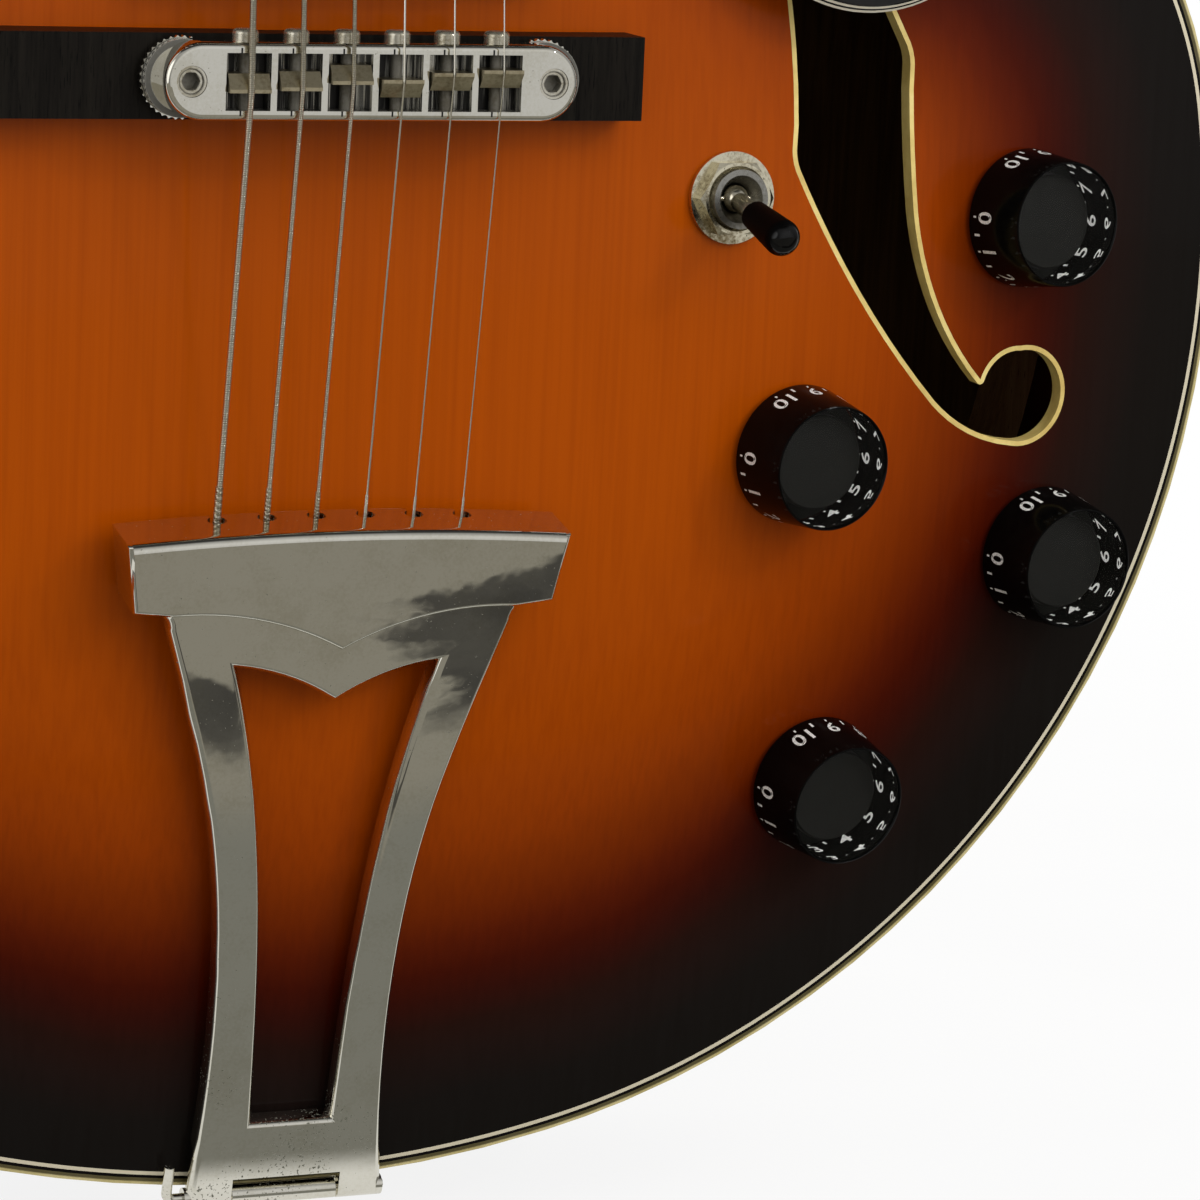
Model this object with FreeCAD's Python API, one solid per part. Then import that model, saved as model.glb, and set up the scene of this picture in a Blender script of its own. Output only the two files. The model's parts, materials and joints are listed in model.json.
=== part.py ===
import FreeCAD, Part
import math
import os

V = FreeCAD.Vector

# Hollow-body archtop guitar. Millimetres. X to the treble side, Z up the strings, the front faces -Y.
# The origin is the middle of the tail end of the rim. "Height" is measured outward from the front
# edge of the rim, so a point at height h stands at Y = -rim_depth / 2 - h.

# body plan: places along the strings follow the body length, places across follow the lower bout
body_length = 514.0
lower_bout = 412.5
rim_depth = 86.0
long_unit = body_length / 100
wide_unit = lower_bout / 100

# body outline, a chain of tangent arcs. The radii above the hips are relative to each other: all of
# them are scaled together until the outline closes at the body length
waist_width = 59.636 * wide_unit
upper_bout = 74.182 * wide_unit
tail_radius = 62.788 * wide_unit
lower_radius = 46.182 * wide_unit
hip_start_deg = 10.0
hip_share = 92.0
waist_share = 60.0
upper_share = 78.0
shoulder_share = 83.86
cutaway_share = 78.0
cutaway_floor_share = 30.0
horn_share = 28.0
cutaway_clearance = 2.25

# arched plates and rim
top_arch = 17.6
back_arch = 15.0
arch_run = 115.0
plate_thick = 4.0
side_thick = 3.0
lining_width = 6.0
lining_height = 13.0
binding_thick = 1.4
binding_height = 7.0
tone_bar_x = 50.0
tone_bar_width = 9.0
tone_bar_height = 15.0
tone_bar_low = 23.35 * long_unit
tone_bar_gap = 12.0
tail_block_width = 84.0
tail_block_depth = 24.0
neck_block_width = 84.0
neck_block_depth = 62.0

# f-holes, drawn on the treble side and point-symmetric about their middle
f_middle_x = 27.636 * wide_unit
f_drop = 1.36 * long_unit
f_eye_x = 11.15 * wide_unit
f_eye_z = -12.1 * long_unit
f_eye_radius = 2.12 * long_unit
f_binding = 1.05

# strings, neck and fingerboard
scale_length = 122.305 * long_unit
string_height = 40.4
string_pitch = 10.28
string_radii = (0.62, 0.5, 0.4, 0.23, 0.19, 0.16)
neck_angle = 4.0
neck_joint_fret = 14
fret_count = 20
board_thick = 6.0
board_radius = 305.0
board_lead = 4.5
board_overhang = 7.5
board_edge = 1.5
nut_width = 43.0
joint_width = 53.5
nut_length = 5.0
nut_string_spread = 36.0
nut_string_gap = 1.6
neck_depth_nut = 15.5
neck_depth_joint = 18.5
heel_cap_gap = 5.0
heel_run = 62.0
heel_foot = 15.0
tenon_width = 28.0
tenon_length = 40.0
tenon_depth = 62.0
rod_radius = 2.5
rod_clearance = 0.1
marker_radius = 3.2
marker_thick = 1.0
fret_width = 2.4
fret_height = 1.1
fret_tang = 0.6
fret_tang_depth = 2.2

# headstock and tuners
head_angle = 14.0
head_length = 172.0
head_thick = 14.0
overlay_thick = 1.5
rod_cover_thick = 1.6
head_half_root = 22.5
head_half_low = 35.0
head_half_top = 39.5
head_flare = 42.0
head_crown = 7.0
tuner_first = 50.0
tuner_step = 43.0
tuner_x_low = 25.0
tuner_x_top = 29.5
post_radius = 3.0
post_rise = 17.0
post_waist = 0.5
bushing_radius = 5.0
bushing_flange = 7.2
bushing_flange_thick = 2.4
housing_width = 16.0
housing_length = 27.0
housing_depth = 10.5
worm_offset = 8.5
key_shaft_radius = 2.2
key_reach = 11.0
key_button_width = 18.0
key_button_thick = 7.0
shaft_clearance = 0.06

# bridge
base_left = -78.0
base_right = 60.2
base_width = 16.7
base_top = 27.6
base_relief_half = 20.0
base_relief = 2.2
bridge_length = 84.4
bridge_width = 15.0
bridge_top = 38.4
bridge_thick = 6.2
post_spacing = 74.0
bridge_post_radius = 3.0
bridge_post_socket = 1.9
bridge_post_dish = 2.4
wheel_radius = 8.1
wheel_thick = 3.4
wheel_flange = 1.6
wheel_collar = 7.6
wheel_neck = 6.9
wheel_groove_pitch_deg = 10.0
wheel_groove_depth = 0.35
window_length = 9.0
window_width = 11.1
window_floor = 1.4
saddle_length = 8.3
saddle_thick = 3.6
saddle_lift = 0.35
saddle_ridge_half = 0.35
saddle_places = (-0.2, 0.3, 1.6, -1.0, 0.4, 1.0)
saddle_screw_radius = 1.15
saddle_screw_head = 2.55
saddle_screw_head_length = 2.5
saddle_screw_dome = 0.9
saddle_screw_depth = 3.0
string_seat = 0.12

# tailpiece, drawn in its own plane: along = up from the hinge pin, out = off the top
hinge_z = -1.2
hinge_height = 2.6
tailpiece_tilt = 11.4
tail_bar_half = 46.2
tail_bar_low_half = 44.0
tail_bar_start = 26.167 * long_unit
tail_bar_width = 13.5
tail_bar_bow = 1.8
tail_bar_step = 1.3
tail_bar_depth = 12.5
tail_bar_wall = 2.4
tail_front_round = 2.2
tail_edge_bevel = 1.0
tail_leg_bevel = 1.4
tail_v_drop = 10.2
tail_shoulder_half = 35.9
tail_flare_half = 40.4
tail_flare_drop = 5.6
tail_leg_top = 2.4
tail_leg_thick = 5.0
tail_foot_thick = 2.6
tail_foot_half = 21.6
tail_foot_end = -2.0
tail_waist_half = 19.2
tail_window_top_half = 21.2
tail_window_drop = 13.9
tail_window_point_drop = 22.0
tail_window_low_half = 8.6
tail_window_low = 17.5
tail_knuckle_half = 11.3
tail_knuckle_gap = 0.4
knuckle_radius = 2.2
pin_radius = 1.1
string_hole_drop = 9.6
string_hole_radius = 1.9
ball_radius = 2.0
ball_length = 3.6
ball_gap = 0.6

# controls: places on the top as (x, z)
knob_places = (
    (37.99 * wide_unit, 39.55 * long_unit),
    (24.99 * wide_unit, 30.21 * long_unit),
    (40.46 * wide_unit, 25.33 * long_unit),
    (27.88 * wide_unit, 16.05 * long_unit),
)
knob_names = ("knob_neck_volume", "knob_bridge_volume", "knob_neck_tone", "knob_bridge_tone")
knob_base_radius = 14.7
knob_top_radius = 13.1
knob_height = 14.8
knob_gap = 1.4
knob_skirt = 2.0
knob_cavity_depth = 6.0
pot_shaft_radius = 3.0
pot_bush_radius = 4.6
pot_bush_rise = 5.0
pot_radius = 12.0
pot_depth = 9.0
pot_nut_radius = 6.8
pot_nut_thick = 2.2
pot_washer_radius = 8.0
pot_washer_thick = 0.8
switch_place = (20.61 * wide_unit, 40.64 * long_unit)
switch_washer_radius = 9.5
switch_washer_thick = 1.2
switch_nut_radius = 8.4
switch_nut_thick = 2.5
switch_bush_radius = 6.1
switch_bush_rise = 5.2
switch_mouth_radius = 4.9
switch_throw_deg = 16.0
switch_pivot_rise = 2.2
lever_radius = 1.9
lever_ball_radius = 2.8
lever_length = 12.0
tip_radius_low = 3.0
tip_radius_top = 4.0
tip_length = 15.6
tip_start = 9.6
tip_round = 3.3
lever_pin_radius = 0.6
lever_pin_half = 5.2
switch_box_width = 18.0
switch_box_length = 44.0
switch_box_depth = 24.0

# pickups: cover heights are over the rim edge
pickup_board_gap = 4.5
pickup_bridge_gap = 11.15
neck_cover_height = 26.0
bridge_cover_height = 33.6
ring_length = 89.0
ring_width = 44.0
ring_rise = 8.5
cover_length = 69.5
cover_width = 38.0
cover_depth = 17.0
cover_wall = 0.8
cover_corner = 3.5
cover_gap = 0.5
pickup_hole_gap = 1.5

# pickguard
guard_inner_x = 47.5
guard_outer_x = 27.15 * wide_unit
guard_low_x = 26.62 * wide_unit
guard_bridge_gap = 13.6
guard_length = 34.32 * long_unit
guard_end_radius = 33.0
guard_bevel = 1.6
guard_height = 24.6
guard_thick = 2.4
guard_slope_deg = 2.6
bracket_radius = 1.8
bracket_rise = 19.07 * long_unit
bracket_pad = 9.0
bracket_pad_thick = 2.2
bracket_drop = 16.0

# output jack, strap buttons and screws
jack_angle_deg = -32.0
jack_bore_radius = 3.25
jack_bore_length = 22.0
jack_barrel_radius = 4.7
jack_nut_radius = 7.2
jack_nut_thick = 2.5
jack_washer_radius = 8.2
jack_washer_thick = 1.0
jack_body_radius = 9.0
button_radius = 7.0
button_height = 13.0
button_neck_radius = 4.2
hanger_half = 15.0
hanger_thick = 1.6
hanger_length = 62.0
screw_radius = 1.6
screw_head_radius = 3.0
screw_head_thick = 1.6
screw_length = 12.0

front = -rim_depth / 2
back = rim_depth / 2
far = 3 * body_length


def fret_place(number):
    return scale_length * (1 - 2 ** (-number / 12))


joint_to_nut = fret_place(neck_joint_fret)
board_end = joint_to_nut - fret_place(fret_count) - board_overhang
bridge_z = body_length - (scale_length - joint_to_nut)
f_middle_z = bridge_z - f_drop
pickup_places = (
    (body_length + board_end - pickup_board_gap - ring_width / 2, neck_cover_height),
    (bridge_z + base_width / 2 + pickup_bridge_gap + ring_width / 2, bridge_cover_height),
)
guard_low_z = bridge_z + guard_bridge_gap
bracket_z = bridge_z + bracket_rise
tail_bar_end = tail_bar_start + tail_bar_width


def at(x, height, z):
    return V(x, front - height, z)


def turn(x, z, radius, deg):
    a = math.radians(deg)
    return V(x + radius * math.cos(a), 0, z + radius * math.sin(a))


def arc_edge(x, z, radius, start, end):
    first = turn(x, z, radius, start)
    middle = turn(x, z, radius, (start + end) / 2)
    last = turn(x, z, radius, end)
    return Part.Arc(first, middle, last).toShape()


def bearing(a, b):
    return math.degrees(math.atan2(b[1] - a[1], b[0] - a[0]))


def tail_arcs():
    half = lower_bout / 2
    sweep = math.asin((half - lower_radius) / (tail_radius - lower_radius))
    rise = tail_radius - (tail_radius - lower_radius) * math.cos(sweep)
    return math.degrees(sweep), (half - lower_radius, rise)


def side_arcs(bend):
    # centres of the hip, waist and upper arcs when their radii are drawn at the scale bend
    lower = tail_arcs()[1]
    run = lower_radius - hip_share * bend
    start = math.radians(hip_start_deg)
    hip = (lower[0] + run * math.cos(start), lower[1] + run * math.sin(start))
    waist_x = waist_width / 2 + waist_share * bend
    climb = ((hip_share + waist_share) * bend) ** 2 - (waist_x - hip[0]) ** 2
    waist = (waist_x, hip[1] + math.sqrt(max(climb, 0.0)))
    upper_x = upper_bout / 2 - upper_share * bend
    climb = ((waist_share + upper_share) * bend) ** 2 - (waist_x - upper_x) ** 2
    upper = (upper_x, waist[1] + math.sqrt(max(climb, 0.0)))
    return hip, waist, upper


def outline_bend():
    low = 0.3
    high = 3.0
    for halving in range(40):
        bend = (low + high) / 2
        if side_arcs(bend)[2][1] + shoulder_share * bend > body_length:
            high = bend
        else:
            low = bend
    return bend


def meeting(first, second, first_radius, second_radius):
    # the point at the given distances from two centres, on the right of the way between them
    gap = math.hypot(second[0] - first[0], second[1] - first[1])
    along = (first_radius ** 2 - second_radius ** 2 + gap ** 2) / (2 * gap)
    across = math.sqrt(first_radius ** 2 - along ** 2)
    ux = (second[0] - first[0]) / gap
    uz = (second[1] - first[1]) / gap
    return (first[0] + along * ux + across * uz, first[1] + along * uz - across * ux)


bend = outline_bend()
hip_radius = hip_share * bend
waist_radius = waist_share * bend
upper_radius = upper_share * bend
horn_radius = horn_share * bend
cutaway_radius = cutaway_floor_share * bend
cutaway_wall = joint_width / 2 + cutaway_clearance
cutaway_floor = body_length - cutaway_share * bend
tail_sweep, lower_centre = tail_arcs()
hip_centre, waist_centre, upper_centre = side_arcs(bend)
shoulder_drop = body_length - upper_centre[1]
shoulder_reach = shoulder_drop ** 2 + upper_centre[0] ** 2 - upper_radius ** 2
shoulder_radius = shoulder_reach / (2 * (shoulder_drop - upper_radius))
shoulder_centre = (0.0, body_length - shoulder_radius)
cutaway_centre = (cutaway_wall + cutaway_radius, cutaway_floor + cutaway_radius)
horn_centre = meeting(upper_centre, cutaway_centre, upper_radius - horn_radius, horn_radius + cutaway_radius)


def body_outline(inset):
    to_waist = bearing(hip_centre, waist_centre)
    to_upper = bearing(upper_centre, waist_centre)
    to_top = bearing(shoulder_centre, upper_centre)
    to_horn = bearing(upper_centre, horn_centre)
    to_cut = bearing(horn_centre, cutaway_centre)
    if to_cut < to_horn:
        to_cut += 360
    top_radius = shoulder_radius - inset
    wall_top = math.degrees(math.acos((cutaway_wall - inset) / top_radius))
    edges = []

    def outward(centre, radius, start, end):
        edges.append(arc_edge(centre[0], centre[1], radius - inset, start, end))

    def inward(centre, radius, start, end):
        edges.append(arc_edge(centre[0], centre[1], radius + inset, start, end))

    def bass(centre):
        return (-centre[0], centre[1])

    outward((0.0, tail_radius), tail_radius, -90 - tail_sweep, -90 + tail_sweep)
    outward(lower_centre, lower_radius, -90 + tail_sweep, hip_start_deg)
    outward(hip_centre, hip_radius, hip_start_deg, to_waist)
    inward(waist_centre, waist_radius, 180 + to_waist, 180 + to_upper)
    outward(upper_centre, upper_radius, to_upper, to_horn)
    outward(horn_centre, horn_radius, to_horn, to_cut)
    inward(cutaway_centre, cutaway_radius, to_cut - 180, -180)
    floor = turn(cutaway_centre[0], cutaway_centre[1], cutaway_radius + inset, 180)
    corner = turn(shoulder_centre[0], shoulder_centre[1], top_radius, wall_top)
    edges.append(Part.makeLine(floor, corner))
    outward(shoulder_centre, shoulder_radius, wall_top, 180 - to_top)
    outward(bass(upper_centre), upper_radius, 180 - to_top, 180 - to_upper)
    inward(bass(waist_centre), waist_radius, -to_upper, -to_waist)
    outward(bass(hip_centre), hip_radius, 180 - to_waist, 180 - hip_start_deg)
    outward(bass(lower_centre), lower_radius, 180 - hip_start_deg, 270 - tail_sweep)
    return Part.Wire(edges)


def prism(wire, y_start, y_end):
    face = Part.Face(wire)
    face.translate(V(0, y_start, 0))
    return face.extrude(V(0, y_end - y_start, 0))


def body_prism(inset, y_start, y_end):
    return prism(body_outline(inset), y_start, y_end)


def rim_ring(outer_inset, inner_inset, y_start, y_end):
    outer = body_prism(outer_inset, y_start, y_end)
    return outer.cut(body_prism(inner_inset, y_start - 1, y_end + 1))


def box(x_start, x_end, y_start, y_end, z_start, z_end):
    return Part.makeBox(x_end - x_start, y_end - y_start, z_end - z_start, V(x_start, y_start, z_start))


def inside(x, z, border):
    hit = False
    previous = border[-1]
    for point in border:
        if (point.z > z) != (previous.z > z):
            crossing = previous.x + (z - previous.z) * (point.x - previous.x) / (point.z - previous.z)
            if x < crossing:
                hit = not hit
        previous = point
    return hit


def arch_surface(rise, side):
    # the arch climbs from the rim along a smooth step of a softened distance to the edge
    outline = body_outline(0)
    border = outline.discretize(Number=320)
    spacing = outline.Length / len(border)
    power = 6
    straight = math.sqrt(math.pi) * math.gamma((power - 1) / 2) / math.gamma(power / 2)
    degree = 3
    columns = 21
    rows = 25
    margin = 14.0
    x_knots = [i / (columns - degree) for i in range(columns - degree + 1)]
    z_knots = [i / (rows - degree) for i in range(rows - degree + 1)]
    x_start = -lower_bout / 2 - margin
    x_span = lower_bout + 2 * margin
    z_start = -margin
    z_span = body_length + 2 * margin

    def stations(knots, start, span):
        full = [knots[0]] * degree + knots + [knots[-1]] * degree
        means = [sum(full[i + 1:i + degree + 1]) / degree for i in range(len(full) - degree - 1)]
        return [start + span * mean for mean in means]

    poles = []
    for x in stations(x_knots, x_start, x_span):
        line = []
        for z in stations(z_knots, z_start, z_span):
            level = 0.0
            if inside(x, z, border):
                crowd = sum(spacing / math.hypot(p.x - x, p.z - z) ** power for p in border)
                part = min((straight / crowd) ** (1 / (power - 1)) / arch_run, 1.0)
                level = rise * part * part * (3 - 2 * part)
            line.append(V(x, side * (rim_depth / 2 + level), z))
        poles.append(line)
    surface = Part.BSplineSurface()
    x_mults = [degree + 1] + [1] * (len(x_knots) - 2) + [degree + 1]
    z_mults = [degree + 1] + [1] * (len(z_knots) - 2) + [degree + 1]
    x_values = [x_start + x_span * k for k in x_knots]
    z_values = [z_start + z_span * k for k in z_knots]
    surface.buildFromPolesMultsKnots(poles, x_mults, z_mults, x_values, z_values,
                                     False, False, degree, degree)
    return surface


top_surface = arch_surface(top_arch, -1)
back_surface = arch_surface(back_arch, 1)
sky = 90.0


def top_point(x, z):
    return top_surface.value(x, z)


def top_normal(x, z):
    across_x = top_surface.getDN(x, z, 1, 0)
    across_z = top_surface.getDN(x, z, 0, 1)
    normal = across_x.cross(across_z)
    normal.normalize()
    if normal.y > 0:
        normal = normal * -1
    return normal


def over_top(depth):
    # the space outward of the top surface pushed inward by depth
    face = top_surface.toShape()
    face.translate(V(0, depth, 0))
    return face.extrude(V(0, -sky - depth, 0))


def over_back(depth):
    face = back_surface.toShape()
    face.translate(V(0, -depth, 0))
    return face.extrude(V(0, sky + depth, 0))


def top_slab():
    return top_surface.toShape().extrude(V(0, plate_thick, 0))


def stand(place):
    # a frame on the top whose Z is the outward normal there and whose Y points up the strings
    normal = top_normal(place[0], place[1])
    right = V(0, 0, 1).cross(normal)
    right.normalize()
    rotation = FreeCAD.Rotation(right, normal.cross(right), normal, "ZXY")
    return FreeCAD.Placement(top_point(place[0], place[1]), rotation)


def placed(shape, placement):
    moved = shape.copy()
    moved.Placement = placement.multiply(moved.Placement)
    return moved


def pole(radius, start, end):
    return Part.makeCylinder(radius, end - start, V(0, 0, start))


def hexagon(radius, start, end):
    turns = [math.radians(60 * i) for i in range(7)]
    points = [V(radius * math.cos(a), radius * math.sin(a), start) for a in turns]
    return Part.Face(Part.makePolygon(points)).extrude(V(0, 0, end - start))


def spun(profile):
    # a solid of revolution about Z from (radius, height) corners
    points = [V(r, 0, h) for r, h in profile]
    points.append(points[0])
    return Part.Face(Part.makePolygon(points)).revolve(V(0, 0, 0), V(0, 0, 1), 360)


def joined(shapes):
    result = shapes[0]
    if len(shapes) > 1:
        result = result.fuse(shapes[1:])
    return result.removeSplitter()


def group(shapes):
    solids = []
    for shape in shapes:
        solids.extend(shape.Solids)
    return Part.makeCompound(solids)


# f-holes


def f_outline():
    # corners are given across in hundredths of the lower bout and along in hundredths of the body length
    edges = []
    for sign in (1, -1):
        def spot(x, z):
            return V(f_middle_x + sign * x, 0, f_middle_z + sign * z)

        def plan(x, z):
            return spot(x * wide_unit, z * long_unit)

        def arc(first, middle, last):
            edges.append(Part.Arc(first, middle, last).toShape())

        low = spot(f_eye_x - 0.14 * f_eye_radius, f_eye_z - f_eye_radius)
        high = spot(f_eye_x - 0.14 * f_eye_radius, f_eye_z + f_eye_radius)
        bend_in = plan(5.43, -12.26)
        cusp = plan(8.39, -11.32)
        thigh = plan(3.93, -4.28)
        lip = plan(3.5, 0.68)
        arc(plan(-3.33, -2.54), plan(1.26, -8.44), bend_in)
        arc(bend_in, plan(7.81, -13.56), low)
        arc(low, spot(f_eye_x + f_eye_radius, f_eye_z), high)
        arc(high, plan(9.16, -10.39), cusp)
        arc(cusp, plan(5.38, -7.98), thigh)
        arc(thigh, plan(3.61, -1.65), lip)
        edges.append(Part.makeLine(lip, plan(3.55, 1.45)))
        arc(plan(3.55, 1.45), plan(3.53, 2.0), plan(3.33, 2.54))
    return Part.Wire(edges)


def mirrored(shape):
    return shape.mirror(V(0, 0, 0), V(1, 0, 0))


def f_cuts(wire):
    treble = prism(wire, front - sky, front + 2 * plate_thick)
    return [treble, mirrored(treble)]


f_edge = f_outline()
f_opening = f_edge.makeOffset2D(-f_binding, 0)


# neck frame: X right, -Y out of the fingerboard, Z along it from the body joint to the nut


slope = math.tan(math.radians(neck_angle))
joint_height = string_height - board_lead - (body_length - bridge_z) * slope
joint_spot = at(0, joint_height, body_length)
neck_frame = FreeCAD.Placement(joint_spot, FreeCAD.Rotation(V(1, 0, 0), -neck_angle))
head_origin = V(0, board_thick - overlay_thick, joint_to_nut + nut_length)
head_frame = neck_frame.multiply(FreeCAD.Placement(head_origin, FreeCAD.Rotation(V(1, 0, 0), -head_angle)))


def board_half(along):
    return nut_width / 2 + (joint_width - nut_width) / 2 * (joint_to_nut - along) / joint_to_nut


def board_wedge(inset, y_start, y_end):
    low = board_half(board_end) - inset
    high = board_half(joint_to_nut) - inset
    points = [V(-low, 0, board_end), V(low, 0, board_end)]
    points += [V(high, 0, joint_to_nut), V(-high, 0, joint_to_nut)]
    return prism(Part.makePolygon(points + points[:1]), y_start, y_end)


def board_crown(height):
    radius = board_radius + height
    length = joint_to_nut - board_end + 4
    return Part.makeCylinder(radius, length, V(0, board_radius, board_end - 2))


def string_x_nut(index):
    return nut_string_spread * (index / 5 - 0.5)


def string_x_bridge(index):
    return string_pitch * (index - 2.5)


def string_nut_point(index):
    x = string_x_nut(index)
    sag = board_radius - math.sqrt(board_radius ** 2 - x ** 2)
    out = nut_string_gap + string_radii[index] - sag
    return neck_frame.multVec(V(x, -out, joint_to_nut + nut_length / 2))


def saddle_side(index):
    # the three bass saddles stand with their upright face to the tail, the treble ones to the neck
    return -1 if index < 3 else 1


def saddle_ridge(index):
    lean = saddle_thick / 2 - saddle_ridge_half
    return bridge_z + saddle_places[index] + saddle_side(index) * lean


def string_bridge_point(index):
    return at(string_x_bridge(index), string_height, saddle_ridge(index))


def tail_frame():
    rotation = FreeCAD.Rotation(V(1, 0, 0), tailpiece_tilt)
    return FreeCAD.Placement(at(0, hinge_height, hinge_z), rotation)


def tail_top():
    return tail_leg_top + tail_bar_step


def tail_bar_front(x):
    return tail_bar_end + tail_bar_bow * (1 - (x / tail_bar_half) ** 2)


def string_hole_spot(index):
    x = string_x_bridge(index)
    return V(x, string_hole_drop - tail_top(), tail_bar_front(x) - tail_bar_wall)


def tuner_spot(index):
    # tuners run from the nut outward on each side: bass 3rd, 2nd, 1st and treble 1st, 2nd, 3rd
    step = (0, 1, 2, 2, 1, 0)[index]
    side = -1 if index < 3 else 1
    x = side * (tuner_x_low + (tuner_x_top - tuner_x_low) * step / 2)
    return V(x, 0, tuner_first + tuner_step * step)


def post_touch(index):
    # where the string meets its post, on the side nearest the middle
    spot = tuner_spot(index)
    side = 1 if index < 3 else -1
    reach = post_radius - post_waist + string_radii[index] + 0.02
    return head_frame.multVec(V(spot.x + side * reach, -bushing_flange_thick - 4.0, spot.z))


def bent_path(points, radius):
    edges = []
    start = points[0]
    for i in range(1, len(points) - 1):
        to_back = points[i - 1] - points[i]
        to_next = points[i + 1] - points[i]
        to_back.normalize()
        to_next.normalize()
        half = to_back.getAngle(to_next) / 2
        reach = radius / math.tan(half)
        first = points[i] + to_back * reach
        last = points[i] + to_next * reach
        bisector = to_back + to_next
        bisector.normalize()
        middle = points[i] + bisector * (radius / math.sin(half) - radius)
        edges.append(Part.makeLine(start, first))
        edges.append(Part.Arc(first, middle, last).toShape())
        start = last
    edges.append(Part.makeLine(start, points[-1]))
    return Part.Wire(edges)


def tube(path, radius):
    start = path.Edges[0].valueAt(path.Edges[0].FirstParameter)
    heading = path.Edges[0].tangentAt(path.Edges[0].FirstParameter)
    ring = Part.Wire(Part.makeCircle(radius, start, heading))
    return path.makePipeShell([ring], True, False)


def string_points(index):
    hole = tail_frame().multVec(string_hole_spot(index))
    away = hole - string_bridge_point(index)
    away.normalize()
    hole = hole + away * (ball_gap + ball_length / 2)
    return [hole, string_bridge_point(index), string_nut_point(index), post_touch(index)]


def make_strings():
    shapes = []
    for index, radius in enumerate(string_radii):
        shapes.append(tube(bent_path(string_points(index), 3.0), radius))
        spot = tail_frame().multVec(string_hole_spot(index))
        heading = spot - string_bridge_point(index)
        heading.normalize()
        shapes.append(Part.makeCylinder(ball_radius, ball_length, spot + heading * ball_gap, heading))
    return group(shapes)


def string_grooves(index, extra):
    points = string_points(index)
    return tube(bent_path(points, 3.0), string_radii[index] + extra)


# body


def control_holes():
    shapes = []
    for place in knob_places:
        shapes.append(placed(pole(pot_bush_radius + 0.2, -20, 20), stand(place)))
    shapes.append(placed(pole(switch_bush_radius + 0.2, -20, 20), stand(switch_place)))
    return shapes


def pickup_hole(z):
    x = cover_length / 2 + pickup_hole_gap
    reach = cover_width / 2 + pickup_hole_gap
    return box(-x, x, front - sky, front + 2 * plate_thick, z - reach, z + reach)


def tenon():
    half = tenon_width / 2
    end = front - joint_height + tenon_depth + board_thick
    return box(-half, half, front - joint_height, end, body_length - tenon_length, body_length + 3)


def halves(shape):
    # the bass and treble halves, which meet on the middle line
    bass = box(-far, 0, -far, far, -far, far)
    treble = box(0, far, -far, far, -far, far)
    return [shape.common(bass), shape.common(treble)]


def make_top_plate():
    # two matched halves
    plate = top_slab().common(body_prism(binding_thick, front - sky, front + sky))
    cuts = f_cuts(f_edge) + control_holes() + [tenon()]
    cuts += [pickup_hole(place[0]) for place in pickup_places]
    return group(halves(plate.cut(cuts)))


def make_f_bindings():
    slab = top_slab()
    shapes = []
    for outer, inner in zip(f_cuts(f_edge), f_cuts(f_opening)):
        shapes.append(slab.common(outer).cut(inner))
    return group(shapes)


def make_back_plate():
    # two matched halves
    slab = back_surface.toShape().extrude(V(0, -plate_thick, 0))
    return group(halves(slab.common(body_prism(binding_thick, back - sky, back + sky))))


def binding_channels():
    low = rim_ring(-1, binding_thick, front - sky, front + binding_height)
    high = rim_ring(-1, binding_thick, back - binding_height, back + sky)
    return [low, high]


def jack_frame():
    spot = turn(lower_centre[0], lower_centre[1], lower_radius, jack_angle_deg)
    heading = spot - V(lower_centre[0], 0, lower_centre[1])
    return FreeCAD.Placement(spot, FreeCAD.Rotation(V(0, 0, 1), heading))


def make_sides():
    # three bent ribs: bass, treble and cutaway, meeting at the tail and at the tip of the horn
    ring = rim_ring(0, side_thick, front - 8, back + 8)
    jack_hole = placed(pole(jack_barrel_radius + 0.1, -20, 20), jack_frame())
    limits = [over_top(plate_thick), over_back(plate_thick)]
    bass, treble = halves(ring.cut(limits + binding_channels() + [jack_hole, tenon()]))
    bay = box(0, horn_centre[0], -far, far, cutaway_floor - 3 * side_thick, far)
    return group([bass, treble.cut(bay), treble.common(bay)])


def end_blocks():
    shell = body_prism(side_thick, front - 8, back + 8)
    half = neck_block_width / 2
    neck_box = box(-half, half, front - 9, back + 9, body_length - neck_block_depth, body_length + 9)
    half = tail_block_width / 2
    tail_box = box(-half, half, front - 9, back + 9, -9, tail_block_depth)
    limits = [over_top(plate_thick), over_back(plate_thick)]
    return [shell.common(neck_box).cut(limits + [tenon()]), shell.common(tail_box).cut(limits)]


def make_linings():
    blocks = end_blocks()
    inner = side_thick + lining_width
    front_ring = rim_ring(side_thick, inner, front - 8, front + plate_thick + lining_height)
    back_ring = rim_ring(side_thick, inner, back - plate_thick - lining_height, back + 8)
    limits = [over_top(plate_thick), over_back(plate_thick), tenon()] + blocks
    return group([front_ring.cut(limits), back_ring.cut(limits)] + blocks)


def make_tone_bars():
    # two bars run under the top beside the pickup openings
    low = tone_bar_low
    high = min(cutaway_floor, body_length - neck_block_depth) - side_thick - lining_width - tone_bar_gap
    shapes = []
    for side in (-1, 1):
        middle = side * tone_bar_x
        half = tone_bar_width / 2
        bar = box(middle - half, middle + half, front - top_arch - 2, front + plate_thick, low, high)
        shapes.append(bar.cut(over_top(plate_thick)))
    lower = over_top(plate_thick + tone_bar_height)
    return group([shape.common(lower) for shape in shapes])


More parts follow.
